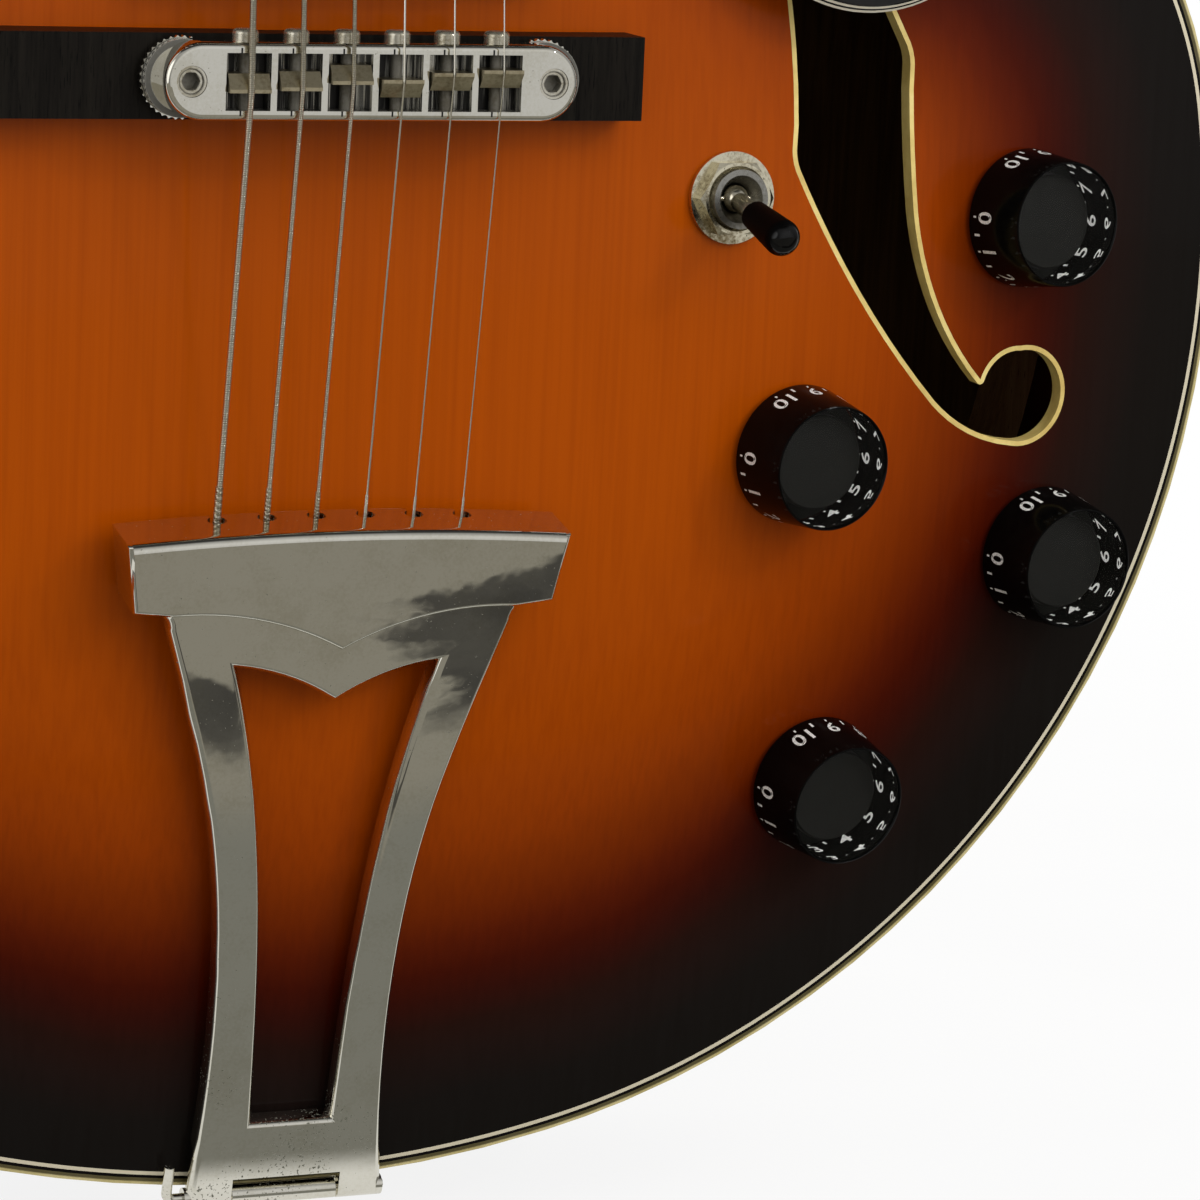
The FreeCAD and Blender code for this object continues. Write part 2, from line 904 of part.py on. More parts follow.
def make_bindings():
    trim = [over_top(0), over_back(0), tenon()]
    front_ring = rim_ring(0, binding_thick, front - 8, front + binding_height).cut(trim)
    back_ring = rim_ring(0, binding_thick, back - binding_height, back + 8).cut(trim)
    board = board_blank().cut(board_wedge(board_edge, -9, board_thick + 9))
    return group([front_ring, back_ring, placed(board, neck_frame)])


# neck


def bow_section(half, depth, spot):
    # a closed D: straight under the fingerboard, elliptic behind
    def point(deg):
        a = math.radians(deg)
        return spot + V(half * math.cos(a), depth * math.sin(a), 0)

    curve = Part.BSplineCurve()
    curve.interpolate(Points=[point(22.5 * i) for i in range(9)])
    return Part.Wire([curve.toShape(), Part.makeLine(point(180), point(0))])


def heel_section(half, reach, y):
    def point(deg):
        a = math.radians(deg)
        return V(half * math.cos(a), y, reach * math.sin(a))

    curve = Part.BSplineCurve()
    curve.interpolate(Points=[point(22.5 * i) for i in range(9)])
    return Part.Wire([curve.toShape(), Part.makeLine(point(180), point(0))])


heel_cap = back - heel_cap_gap


def make_heel():
    sections = []
    steps = 7
    start = front - joint_height + board_thick + heel_run * slope + 1
    for i in range(steps):
        part = i / (steps - 1)
        half = joint_width / 2 * (1 - 0.42 * part * part)
        reach = heel_foot + (heel_run - heel_foot) * (1 - part) ** 3
        section = heel_section(half, reach, start + (heel_cap - start) * part)
        section.translate(V(0, 0, body_length))
        sections.append(section)
    return Part.makeLoft(sections, True, False)


def head_outline():
    points = [(head_half_root, -nut_length), (head_half_root, 4)]
    points += [(head_half_low, head_flare), (head_half_top, head_length)]
    corners = [V(x, 0, z) for x, z in points]
    mirror = [V(-p.x, 0, p.z) for p in corners]
    crown = V(0, 0, head_length + head_crown)
    hollow = V((head_half_root + head_half_low) / 2 - 2.5, 0, head_flare * 0.55 + 2)
    edges = [Part.makeLine(corners[0], corners[1])]
    edges.append(Part.Arc(corners[1], hollow, corners[2]).toShape())
    edges.append(Part.makeLine(corners[2], corners[3]))
    edges.append(Part.Arc(corners[3], crown, mirror[3]).toShape())
    edges.append(Part.makeLine(mirror[3], mirror[2]))
    edges.append(Part.Arc(mirror[2], V(-hollow.x, 0, hollow.z), mirror[1]).toShape())
    edges.append(Part.makeLine(mirror[1], mirror[0]))
    edges.append(Part.makeLine(mirror[0], corners[0]))
    return Part.Wire(edges)


def tuner_bores():
    shapes = []
    for index in range(6):
        spot = tuner_spot(index)
        shapes.append(Part.makeCylinder(bushing_radius, 60, V(spot.x, -30, spot.z), V(0, 1, 0)))
    return shapes


rod_drop = board_thick + rod_radius + 2.0


def rod_channel():
    start = -tenon_length + 8
    radius = rod_radius + rod_clearance
    channel = Part.makeCylinder(radius, joint_to_nut + 30 - start, V(0, rod_drop, start))
    slot = box(-radius, radius, board_thick - 0.5, rod_drop, start, joint_to_nut)
    return channel.fuse(slot)


def rod_pocket():
    # an open pocket behind the nut gives a key room to reach the truss rod
    return box(-6, 6, -9, 9, nut_length + 1, 34)


def make_neck():
    shaft_start = bow_section(board_half(-30), neck_depth_joint, V(0, board_thick, -30))
    neck_end = V(0, board_thick, joint_to_nut + nut_length)
    shaft_end = bow_section(board_half(joint_to_nut), neck_depth_nut, neck_end)
    shaft = Part.makeLoft([shaft_start, shaft_end], True, True)
    face = box(-far, far, -far, far, -far, 0)
    body_end = FreeCAD.Placement(V(0, 0, body_length), FreeCAD.Rotation())
    face.Placement = neck_frame.inverse().multiply(body_end)
    shaft = shaft.cut(face)
    head = prism(head_outline(), overlay_thick, overlay_thick + head_thick)
    head = head.cut(tuner_bores() + [rod_pocket()])
    local_head = FreeCAD.Placement(head_origin, FreeCAD.Rotation(V(1, 0, 0), -head_angle))
    head = placed(head, local_head)
    under_board = box(-100, 100, -60, board_thick, -200, joint_to_nut + nut_length)
    head = head.cut(under_board)
    tongue = board_wedge(1.0, board_thick, board_thick + 40)
    neck = placed(joined([shaft, head]), neck_frame)
    tongue = placed(tongue, neck_frame)
    tongue = tongue.common(box(-far, far, -far, front + 2, 0, body_length)).common(over_top(0))
    block = tenon().common(placed(box(-60, 60, board_thick, 200, -200, 60), neck_frame))
    neck = joined([neck, make_heel(), tongue, block])
    return neck.cut(placed(rod_channel(), neck_frame))


def make_truss_rod():
    start = -tenon_length + 8
    rod = Part.makeCylinder(rod_radius, joint_to_nut + 12 - start, V(0, rod_drop, start))
    return placed(rod, neck_frame)


def board_blank():
    return board_wedge(0, -9, board_thick).common(board_crown(0))


def fret_slots(extra):
    shapes = []
    for number in range(1, fret_count + 1):
        along = joint_to_nut - fret_place(number)
        half = (fret_tang + extra) / 2
        shapes.append(box(-60, 60, -9, fret_tang_depth + 0.2 * extra, along - half, along + half))
    return shapes


def marker_spots():
    spots = []
    for number in (3, 5, 7, 9, 12, 15, 17, 19):
        along = joint_to_nut - (fret_place(number) + fret_place(number - 1)) / 2
        across = (-9.0, 9.0) if number == 12 else (0.0,)
        spots.extend((x, along) for x in across)
    return spots


def markers_at(thick):
    return [Part.makeCylinder(marker_radius, thick + 9, V(x, -9, z), V(0, 1, 0)) for x, z in marker_spots()]


def make_fingerboard():
    board = board_blank().common(board_wedge(board_edge, -9, board_thick + 9))
    return placed(board.cut(fret_slots(0) + markers_at(marker_thick)), neck_frame)


def make_markers():
    blank = board_blank()
    return placed(group([blank.common(disc) for disc in markers_at(marker_thick)]), neck_frame)


def make_frets():
    shapes = []
    crown = fret_width / 2
    for number in range(1, fret_count + 1):
        along = joint_to_nut - fret_place(number)
        half = board_half(along) - 0.1
        sweep = math.degrees(math.asin(half / board_radius))
        low = V(0, 0, along - crown)
        high = V(0, 0, along + crown)
        arch = Part.Arc(low, V(0, -fret_height, along), high).toShape()
        face = Part.Face(Part.Wire([arch, Part.makeLine(high, low)]))
        face.rotate(V(0, board_radius, 0), V(0, 0, 1), -sweep)
        bead = face.revolve(V(0, board_radius, 0), V(0, 0, 1), 2 * sweep)
        inner = board_half(along) - board_edge
        tang = box(-inner, inner, -9, fret_tang_depth, along - fret_tang / 2, along + fret_tang / 2)
        shapes.append(bead.fuse(tang.common(board_crown(0))).removeSplitter())
    return placed(group(shapes), neck_frame)


def make_nut():
    half = board_half(joint_to_nut)
    block = box(-half, half, -9, board_thick, joint_to_nut, joint_to_nut + nut_length)
    crown = board_radius + nut_string_gap + 0.5
    rounded = Part.makeCylinder(crown, nut_length, V(0, board_radius, joint_to_nut))
    nut = placed(block.common(rounded), neck_frame)
    return nut.cut([string_grooves(index, 0.03) for index in range(6)])


def make_overlay():
    sheet = prism(head_outline(), 0, overlay_thick)
    sheet = sheet.cut(tuner_bores() + [rod_pocket()])
    sheet = placed(sheet, head_frame)
    clear = box(-100, 100, -60, 60, -60, joint_to_nut + nut_length)
    return sheet.cut(placed(clear, neck_frame))


def make_rod_cover():
    points = [V(-9, 0, 3), V(9, 0, 3), V(7, 0, 22)]
    edges = [Part.makeLine(points[0], points[1]), Part.makeLine(points[1], points[2])]
    edges.append(Part.Arc(points[2], V(0, 0, 40), V(-7, 0, 22)).toShape())
    edges.append(Part.makeLine(V(-7, 0, 22), points[0]))
    return placed(prism(Part.Wire(edges), -rod_cover_thick, 0), head_frame)


# tuners


def make_tuner_housings():
    shapes = []
    floor = overlay_thick + head_thick
    for index in range(6):
        spot = tuner_spot(index)
        side = -1 if index < 3 else 1
        half = housing_width / 2
        low = spot.z - housing_length / 2 + worm_offset / 2
        case = box(spot.x - half, spot.x + half, floor, floor + housing_depth, low, low + housing_length)
        edges = [e for e in case.Edges if abs(e.tangentAt(e.FirstParameter).y) > 0.9]
        case = case.makeFillet(4.0, edges)
        bore_radius = post_radius + shaft_clearance

        def upright(radius, y_start, y_end):
            return Part.makeCylinder(radius, y_end - y_start, V(spot.x, y_start, spot.z), V(0, 1, 0))

        hole = upright(bore_radius, floor - 1, floor + housing_depth - 3)
        worm_end = V(spot.x - side * (half - 3), floor + housing_depth / 2, spot.z + worm_offset)
        worm = Part.makeCylinder(key_shaft_radius + shaft_clearance, half * 2 - 1, worm_end, V(side, 0, 0))
        sleeve = upright(bushing_radius, 0, floor)
        flange = upright(bushing_flange, -bushing_flange_thick, 0)
        bore = upright(bore_radius, -30, 30)
        shapes.append(case.cut([hole, worm]))
        shapes.append(sleeve.fuse(flange).cut(bore))
    return placed(group(shapes), head_frame)


def make_tuner_post(index):
    spot = tuner_spot(index)
    depth = overlay_thick + head_thick + housing_depth - 4
    waist = post_radius - post_waist
    low = bushing_flange_thick + 1.2
    profile = [(0, -depth), (post_radius, -depth), (post_radius, low), (waist, low + 1.2)]
    profile += [(waist, post_rise - 6), (post_radius, post_rise - 4.5), (post_radius, post_rise - 0.6)]
    profile += [(post_radius - 0.6, post_rise), (0, post_rise)]
    post = spun(profile)
    hole = Part.makeCylinder(0.9, 20, V(0, -10, low + 4), V(0, 1, 0))
    post = post.cut(hole)
    stand_up = FreeCAD.Placement(spot, FreeCAD.Rotation(V(0, 0, 1), V(0, -1, 0)))
    return placed(placed(post, stand_up), head_frame)


def make_tuner_key(index):
    spot = tuner_spot(index)
    side = -1 if index < 3 else 1
    half = housing_width / 2
    reach = head_half_top - abs(spot.x) + key_reach
    shaft = Part.makeCylinder(key_shaft_radius, reach + half - 4, V(0, 0, 4 - half))
    collar = spun([(0, half + 0.4), (4.2, half + 0.4), (4.2, half + 2.2), (2.8, half + 3.4), (0, half + 3.4)])
    rim = key_button_thick / 2
    flat = key_button_width / 2 - rim
    low_edge = V(flat, -rim, 0)
    high_edge = V(flat, rim, 0)
    edges = [Part.makeLine(V(0, -rim, 0), low_edge)]
    edges.append(Part.Arc(low_edge, V(flat + rim, 0, 0), high_edge).toShape())
    edges.append(Part.makeLine(high_edge, V(0, rim, 0)))
    edges.append(Part.makeLine(V(0, rim, 0), V(0, -rim, 0)))
    grip = Part.Face(Part.Wire(edges)).revolve(V(0, 0, 0), V(0, 1, 0), 360)
    grip.translate(V(0, 0, reach + key_button_width / 2 - 1.5))
    key = joined([shaft, collar, grip])
    floor = overlay_thick + head_thick
    spot = V(spot.x, floor + housing_depth / 2, spot.z + worm_offset)
    out = FreeCAD.Placement(spot, FreeCAD.Rotation(V(0, 0, 1), V(side, 0, 0)))
    return placed(placed(key, out), head_frame)


# bridge


def make_bridge_base():
    half = base_width / 2
    bar = box(base_left, base_right, front - base_top, front, bridge_z - half, bridge_z + half)
    relief = box(-base_relief_half, base_relief_half, front - top_arch - base_relief, front + 1,
                 bridge_z - half - 1, bridge_z + half + 1)
    bar = bar.cut(relief).common(over_top(0))
    spots = [side * post_spacing / 2 for side in (-1, 1)]
    holes = [pole_y(x, bridge_post_radius, base_top + 1, base_top - 7) for x in spots]
    return bar.cut(holes)


def pole_y(x, radius, high, low):
    return Part.makeCylinder(radius, high - low, at(x, low, bridge_z), V(0, -1, 0))


def make_bridge_posts():
    shapes = []
    for side in (-1, 1):
        x = side * post_spacing / 2
        post = pole_y(x, bridge_post_radius, bridge_top - 0.3, base_top - 7)
        socket = hexagon(bridge_post_socket, 0, 3.0)
        seat = FreeCAD.Placement(at(x, bridge_top - 3.3, bridge_z), FreeCAD.Rotation(V(0, 0, 1), V(0, -1, 0)))
        dish = pole_y(x, bridge_post_dish, bridge_top, bridge_top - 0.8)
        shapes.append(post.cut([placed(socket, seat), dish]))
    return group(shapes)


def wheel_bottom():
    return bridge_top - bridge_thick - wheel_thick


def make_thumbwheel(side):
    x = side * post_spacing / 2
    low = wheel_bottom()
    high = low + wheel_thick
    rim_top = low + wheel_flange
    disc = pole_y(x, wheel_radius, rim_top, low)
    disc = joined([disc, pole_y(x, wheel_neck, high, low), pole_y(x, wheel_collar, high, rim_top + 0.5)])
    grooves = []
    steps = int(360 / wheel_groove_pitch_deg)
    groove_radius = wheel_groove_depth * 2
    for i in range(steps):
        a = math.radians(360 * i / steps)
        reach = wheel_radius + groove_radius - wheel_groove_depth
        spot = at(x + reach * math.cos(a), wheel_bottom() - 1, bridge_z + reach * math.sin(a))
        grooves.append(Part.makeCylinder(groove_radius, wheel_thick + 2, spot, V(0, -1, 0)))
    bore = pole_y(x, bridge_post_radius + shaft_clearance, base_top + 20, base_top - 2)
    return disc.cut(grooves + [bore])


def stadium(length, width, high, low, z):
    radius = width / 2
    run = length / 2 - radius
    points = [V(-run, 0, z - radius), V(run, 0, z - radius), V(run, 0, z + radius), V(-run, 0, z + radius)]
    edges = [Part.makeLine(points[0], points[1])]
    edges.append(Part.Arc(points[1], V(run + radius, 0, z), points[2]).toShape())
    edges.append(Part.makeLine(points[2], points[3]))
    edges.append(Part.Arc(points[3], V(-run - radius, 0, z), points[0]).toShape())
    return prism(Part.Wire(edges), front - high, front - low)


def screw_level():
    return bridge_top - saddle_screw_depth


def make_bridge_body():
    bottom = bridge_top - bridge_thick
    body = stadium(bridge_length, bridge_width, bridge_top, bottom, bridge_z)
    top_edges = [e for e in body.Edges if e.BoundBox.YMax < front - bridge_top + 0.01]
    body = body.makeFillet(1.2, top_edges)
    cuts = []
    for index in range(6):
        x = string_x_bridge(index)
        half = window_length / 2
        reach = window_width / 2
        cuts.append(box(x - half, x + half, front - bridge_top - 1, front - bottom - window_floor,
                        bridge_z - reach, bridge_z + reach))
        cuts.append(screw_bar(index, shaft_clearance))
    for side in (-1, 1):
        x = side * post_spacing / 2
        cuts.append(pole_y(x, bridge_post_radius + shaft_clearance, bridge_top + 1, bottom - 1))
    return body.cut(cuts)


def screw_bar(index, extra):
    start = at(string_x_bridge(index), screw_level(), bridge_z - bridge_width / 2 + 0.4)
    length = bridge_width - 0.4 + saddle_screw_head_length - 1.0
    return Part.makeCylinder(saddle_screw_radius + extra, length, start)


def make_saddle_screws():
    shapes = []
    for index in range(6):
        start = bridge_z + bridge_width / 2
        x = string_x_bridge(index)
        level = screw_level()
        head = Part.makeCylinder(saddle_screw_head, saddle_screw_head_length, at(x, level, start))
        crown = [e for e in head.Edges if e.BoundBox.ZMin > start + saddle_screw_head_length - 0.01]
        head = head.makeFillet(saddle_screw_dome, crown)
        slot_z = start + saddle_screw_head_length - 0.7
        slot = box(x - 3, x + 3, front - level - 0.3, front - level + 0.3, slot_z, slot_z + 2)
        shapes.append(screw_bar(index, 0).fuse(head).removeSplitter().cut(slot))
    return group(shapes)


def make_saddle(index):
    # a small block with one upright and one sloping face, and a ridge that carries the string
    x = string_x_bridge(index)
    z = bridge_z + saddle_places[index]
    half = saddle_thick / 2
    low = bridge_top - bridge_thick + window_floor + saddle_lift
    crest = string_height - string_radii[index] + 0.25
    eave = bridge_top - 0.2
    side = saddle_side(index)
    upright = z + side * half
    foot = z - side * half
    corners = [(upright, low), (foot, low), (foot, eave)]
    corners += [(saddle_ridge(index) - side * saddle_ridge_half, crest), (upright, crest)]
    points = [at(x - saddle_length / 2, h, zz) for zz, h in corners]
    points.append(points[0])
    block = Part.Face(Part.makePolygon(points)).extrude(V(saddle_length, 0, 0))
    return block.cut([screw_bar(index, shaft_clearance), string_grooves(index, string_seat)])


# tailpiece, drawn with X across, -Y out and Z along


def spline(points):
    curve = Part.BSplineCurve()
    curve.interpolate(Points=points)
    return curve.toShape()


def both_sides(points):
    return [V(-p.x, p.y, p.z) for p in reversed(points)]


def leg_edge():
    shoulder = V(tail_shoulder_half, 0, tail_bar_start - tail_flare_drop)
    knee = V(30.6, 0, 0.833 * tail_bar_start)
    calf = V(23.6, 0, 0.64 * tail_bar_start)
    waist = V(tail_waist_half, 0, 0.342 * tail_bar_start)
    return [shoulder, knee, calf, waist, V(tail_foot_half, 0, tail_foot_end)]


def tail_frame_outline():
    right = leg_edge()
    left = both_sides(right)
    rise = tail_bar_start + 6
    # each leg flares out into the underside of the bar
    flare = V(tail_flare_half, 0, tail_bar_start - 1.3)
    bend = flare + (right[0] - flare) * 0.5 + V(-0.9, 0, 0.9)
    edges = [Part.Arc(flare, bend, right[0]).toShape(), spline(right)]
    edges += [Part.makeLine(right[-1], left[0]), spline(left)]
    edges.append(Part.Arc(left[-1], V(-bend.x, 0, bend.z), V(-flare.x, 0, flare.z)).toShape())
    edges.append(Part.makeLine(V(-flare.x, 0, flare.z), V(-tail_shoulder_half, 0, rise)))
    edges.append(Part.makeLine(V(-tail_shoulder_half, 0, rise), V(tail_shoulder_half, 0, rise)))
    edges.append(Part.makeLine(V(tail_shoulder_half, 0, rise), flare))
    return Part.Wire(edges)


def tail_window():
    top = tail_bar_start - tail_window_drop
    point = V(0, 0, tail_bar_start - tail_window_point_drop)
    corner = V(tail_window_top_half, 0, top)
    low = V(tail_window_low_half, 0, tail_window_low)
    brow = V(tail_window_top_half / 2, 0, top - 2.6)
    side = [corner, V(14.4, 0, 0.677 * tail_bar_start), V(10.0, 0, 0.372 * tail_bar_start), low]
    left = both_sides(side)
    edges = [Part.Arc(point, brow, corner).toShape(), spline(side), Part.makeLine(low, left[0]), spline(left)]
    edges.append(Part.Arc(left[-1], V(-brow.x, 0, brow.z), point).toShape())
    return Part.Wire(edges)


def tail_bar_outline():
    top = V(tail_bar_half, 0, tail_bar_end)
    low = V(tail_bar_low_half, 0, tail_bar_start - 1)
    root = V(tail_shoulder_half, 0, tail_bar_start - 2)
    brow = V(18.5, 0, tail_bar_start - 3.2)
    point = V(0, 0, tail_bar_start - tail_v_drop)
    edges = [Part.Arc(top, V(0, 0, tail_bar_end + tail_bar_bow), V(-top.x, 0, top.z)).toShape()]
    edges.append(Part.makeLine(V(-top.x, 0, top.z), V(-low.x, 0, low.z)))
    edges.append(Part.makeLine(V(-low.x, 0, low.z), V(-root.x, 0, root.z)))
    edges.append(Part.Arc(V(-root.x, 0, root.z), V(-brow.x, 0, brow.z), point).toShape())
    edges.append(Part.Arc(point, brow, root).toShape())
    edges.append(Part.makeLine(root, low))
    edges.append(Part.makeLine(low, top))
    return Part.Wire(edges)


def bar_hollow():
    # the bar is open below and behind its front and end walls
    x = tail_bar_half - tail_bar_wall
    low = tail_bar_low_half - tail_bar_wall
    front_z = tail_bar_end - tail_bar_wall
    points = [V(-low, 0, tail_bar_start - 3), V(low, 0, tail_bar_start - 3), V(x, 0, front_z)]
    edges = [Part.makeLine(points[0], points[1]), Part.makeLine(points[1], points[2])]
    edges.append(Part.Arc(points[2], V(0, 0, front_z + tail_bar_bow), V(-x, 0, front_z)).toShape())
    edges.append(Part.makeLine(V(-x, 0, front_z), points[0]))
    return prism(Part.Wire(edges), tail_leg_thick - tail_leg_top - 2.4, tail_bar_depth + 20)


def knuckle(x_start, x_end):
    return Part.makeCylinder(knuckle_radius, x_end - x_start, V(x_start, 0, 0), V(1, 0, 0))


def bevelled(shape, level, bevel):
    # the outer edges of the face at this level broken all round, but not along its straight front
    top = [e for e in shape.Edges if e.BoundBox.YMax < level + 0.01 and e.BoundBox.ZMin < tail_bar_end - 0.1]
    return shape.makeChamfer(bevel, top)


def make_tailpiece():
    plate = prism(tail_frame_outline(), -tail_leg_top, tail_leg_thick - tail_leg_top)
    plate = bevelled(plate.cut(prism(tail_window(), -40, 40)), -tail_leg_top, tail_leg_bevel)
    foot_low = tail_foot_thick - tail_leg_top
    foot_start = tail_foot_end - 2
    points = [V(0, foot_low, foot_start), V(0, foot_low, 11), V(0, 20, 24), V(0, 20, foot_start)]
    relief = Part.Face(Part.makePolygon(points + points[:1])).extrude(V(200, 0, 0))
    relief.translate(V(-100, 0, 0))
    bar = prism(tail_bar_outline(), -tail_top(), 0)
    skirt_cut = box(-100, 100, -50, 50, -50, tail_bar_start - 1)
    skirt = prism(tail_bar_outline(), -1.0, tail_bar_depth - tail_top()).cut(skirt_cut)
    bar = bevelled(bar, -tail_top(), tail_edge_bevel)
    front_edges = [e for e in bar.Edges if e.BoundBox.ZMin > tail_bar_end - 0.1]
    rim = [e for e in front_edges if e.BoundBox.YMax < 0.01 - tail_top()]
    bar = bar.makeFillet(tail_front_round, rim)
    body = plate.fuse([bar, skirt]).cut([relief, bar_hollow()])
    inner = tail_knuckle_half + tail_knuckle_gap
    ears = [knuckle(inner, tail_foot_half), knuckle(-tail_foot_half, -inner)]
    notch = box(-inner, inner, -40, 40, tail_foot_end - 3, knuckle_radius + 2.6)
    body = body.cut(notch).fuse(ears).removeSplitter()
    pin_hole = Part.makeCylinder(pin_radius + shaft_clearance, 100, V(-50, 0, 0), V(1, 0, 0))
    cuts = [pin_hole]
    frame = tail_frame()
    for index in range(6):
        spot = string_hole_spot(index)
        target = frame.inverse().multVec(string_bridge_point(index))
        heading = target - spot
        heading.normalize()
        cuts.append(Part.makeCylinder(string_hole_radius, 12, spot - heading * 4, heading))
        slot = box(spot.x - 0.9, spot.x + 0.9, spot.y, spot.y + 20, spot.z - 1, spot.z + 9)
        cuts.append(slot)
    return placed(body.cut(cuts), frame)


def make_tail_hanger():
    # a strap screwed to the tail end, with the middle knuckle, and the pin with its bent end
    frame = tail_frame()
    roll = placed(knuckle(-tail_knuckle_half, tail_knuckle_half), frame)
    high = front - hinge_height
    strap = box(-hanger_half, hanger_half, front + 4, front + hanger_length, -hanger_thick, 0)
    web = box(-tail_knuckle_half, tail_knuckle_half, high, front + 4, -hanger_thick, -0.05)
    plate = joined([roll, web, strap])
    pin_hole = placed(Part.makeCylinder(pin_radius, 100, V(-50, 0, 0), V(1, 0, 0)), frame)
    holes = [Part.makeCylinder(screw_radius, 20, V(0, y, -10)) for y in hanger_screw_places()]
    holes.append(Part.makeCylinder(button_neck_radius, 20, V(0, 0, -10)))
    plate = plate.cut([pin_hole] + holes)
    reach = tail_foot_half + 0.5
    path = bent_path([V(reach, 0, 0), V(-reach - 3, 0, 0), V(-reach - 3, -0.5, 8)], 1.6)
    return group([plate, placed(tube(path, pin_radius), frame)])


def hanger_screw_places():
    return (front + 14, front + hanger_length - 8)


# pickups


def rounded_box(length, width, y_start, y_end, z, corner):
    half = length / 2
    reach = width / 2
    block = box(-half, half, y_start, y_end, z - reach, z + reach)
    edges = [e for e in block.Edges if abs(e.tangentAt(e.FirstParameter).y) > 0.9]
    return block.makeFillet(corner, edges)


def ring_height(z):
    return front - top_point(0, z).y + ring_rise


def make_pickup_rings():
    shapes = []
    for z in [place[0] for place in pickup_places]:
        ring = rounded_box(ring_length, ring_width, front - ring_height(z), front + 2, z, 4.0)
        length = cover_length + 2 * cover_gap
        width = cover_width + 2 * cover_gap
        hole = rounded_box(length, width, front - sky, front + sky, z, cover_corner)
        shapes.append(ring.cut(hole).common(over_top(0)))
    return group(shapes)


def make_pickup_covers():
    shapes = []
    for z, height in pickup_places:
        top = front - height
        shell = rounded_box(cover_length, cover_width, top, top + cover_depth, z, cover_corner)
        top_edges = [e for e in shell.Edges if e.BoundBox.YMax < top + 0.01]
        shell = shell.makeFillet(1.0, top_edges)
        inner = rounded_box(cover_length - 2 * cover_wall, cover_width - 2 * cover_wall,
                            top + cover_wall, top + sky, z, cover_corner - cover_wall)
        shapes.append(shell.cut(inner))
    return group(shapes)


def make_pickup_coils():
    shapes = []
    for z, height in pickup_places:
        inset = 2 * cover_wall + 0.2
        shapes.append(rounded_box(cover_length - inset, cover_width - inset, front - height + cover_wall,
                                  front - height + cover_depth + 3, z, cover_corner - cover_wall - 0.1))
    return group(shapes)


# controls


def make_control_pots():
    shapes = []
    for place in knob_places:
        low = -plate_thick - 1.2
        case = pole(pot_radius, low - pot_depth, low)
        bush = pole(pot_bush_radius, low, pot_bush_rise)
        bore = pole(pot_shaft_radius + shaft_clearance, low - pot_depth + 2, 40)
        shapes.append(placed(case.fuse(bush).removeSplitter().cut(bore), stand(place)))
    return group(shapes)


def turned_nut(radius, start, end, bore):
    # a hexagon nut with its corners and the mouth of its bore turned off
    crown = 0.88 * radius
    cone = Part.makeCone(crown + 1.73 * (end - start), crown, end - start, V(0, 0, start))
    mouth = Part.makeCone(bore, bore + 0.6, 0.6, V(0, 0, end - 0.6))
    return hexagon(radius, start, end).common(cone).cut(mouth)


def make_panel_nuts():
    shapes = []
    for place in knob_places:
        washer = pole(pot_washer_radius, 0.3, 0.3 + pot_washer_thick)
        nut = hexagon(pot_nut_radius, 0.3 + pot_washer_thick, 0.3 + pot_washer_thick + pot_nut_thick)
        shapes.append(placed(washer.fuse(nut).cut(pole(pot_bush_radius, -5, 20)), stand(place)))
    washer = pole(switch_washer_radius, 0.1, 0.1 + switch_washer_thick)
    low = 0.1 + switch_washer_thick
    nut = turned_nut(switch_nut_radius, low, low + switch_nut_thick, switch_bush_radius)
    shapes.append(placed(washer.fuse(nut).cut(pole(switch_bush_radius, -5, 20)), stand(switch_place)))
    washer = pole(jack_washer_radius, 0.15, 0.15 + jack_washer_thick)
    low = 0.15 + jack_washer_thick
    nut = turned_nut(jack_nut_radius, low, low + jack_nut_thick, jack_barrel_radius)
    shapes.append(placed(washer.fuse(nut).cut(pole(jack_barrel_radius, -5, 20)), jack_frame()))
    return group(shapes)


def make_knob(place):
    low = knob_gap
    high = low + knob_height
    inner = knob_base_radius - knob_skirt
    profile = [(pot_shaft_radius, high - 4), (0, high - 4), (0, high - 0.5)]
    profile += [(knob_top_radius - 1.8, high - 0.5), (knob_top_radius - 0.8, high)]
    profile += [(knob_top_radius, high - 0.4), (knob_base_radius, low), (inner, low)]
    profile += [(inner - 0.6, low + knob_cavity_depth), (pot_shaft_radius, low + knob_cavity_depth)]
    shaft = pole(pot_shaft_radius, -plate_thick - pot_depth + 1.5, high - 4)
    return group([placed(spun(profile), stand(place)), placed(shaft, stand(place))])


def switch_lean():
    lean = FreeCAD.Placement(V(0, 0, switch_pivot_rise), FreeCAD.Rotation(V(1, 0, 0), switch_throw_deg))
    return stand(switch_place).multiply(lean)


def lever_pin(extra, half, rise):
    # the cross pin that the lever turns on
    return Part.makeCylinder(lever_pin_radius + extra, 2 * half, V(-half, 0, rise), V(1, 0, 0))


def make_switch_body():
    low = -plate_thick - 1.0
    half_x = switch_box_width / 2
    half_y = switch_box_length / 2
    case = box(-half_x, half_x, -half_y, half_y, low - switch_box_depth, low)
    bush = pole(switch_bush_radius, low, switch_bush_rise)
    seat = Part.makeSphere(lever_ball_radius + 0.3, V(0, 0, switch_pivot_rise))
    reach = switch_bush_rise - switch_pivot_rise
    throw = Part.makeCone(lever_ball_radius + 0.3, switch_mouth_radius, reach, V(0, 0, switch_pivot_rise))
    tail = pole(lever_ball_radius, low - 3, switch_pivot_rise)
    pin_hole = lever_pin(shaft_clearance, lever_pin_half + 0.1, switch_pivot_rise)
    return placed(case.fuse(bush).removeSplitter().cut([seat, throw, tail, pin_hole]), stand(switch_place))


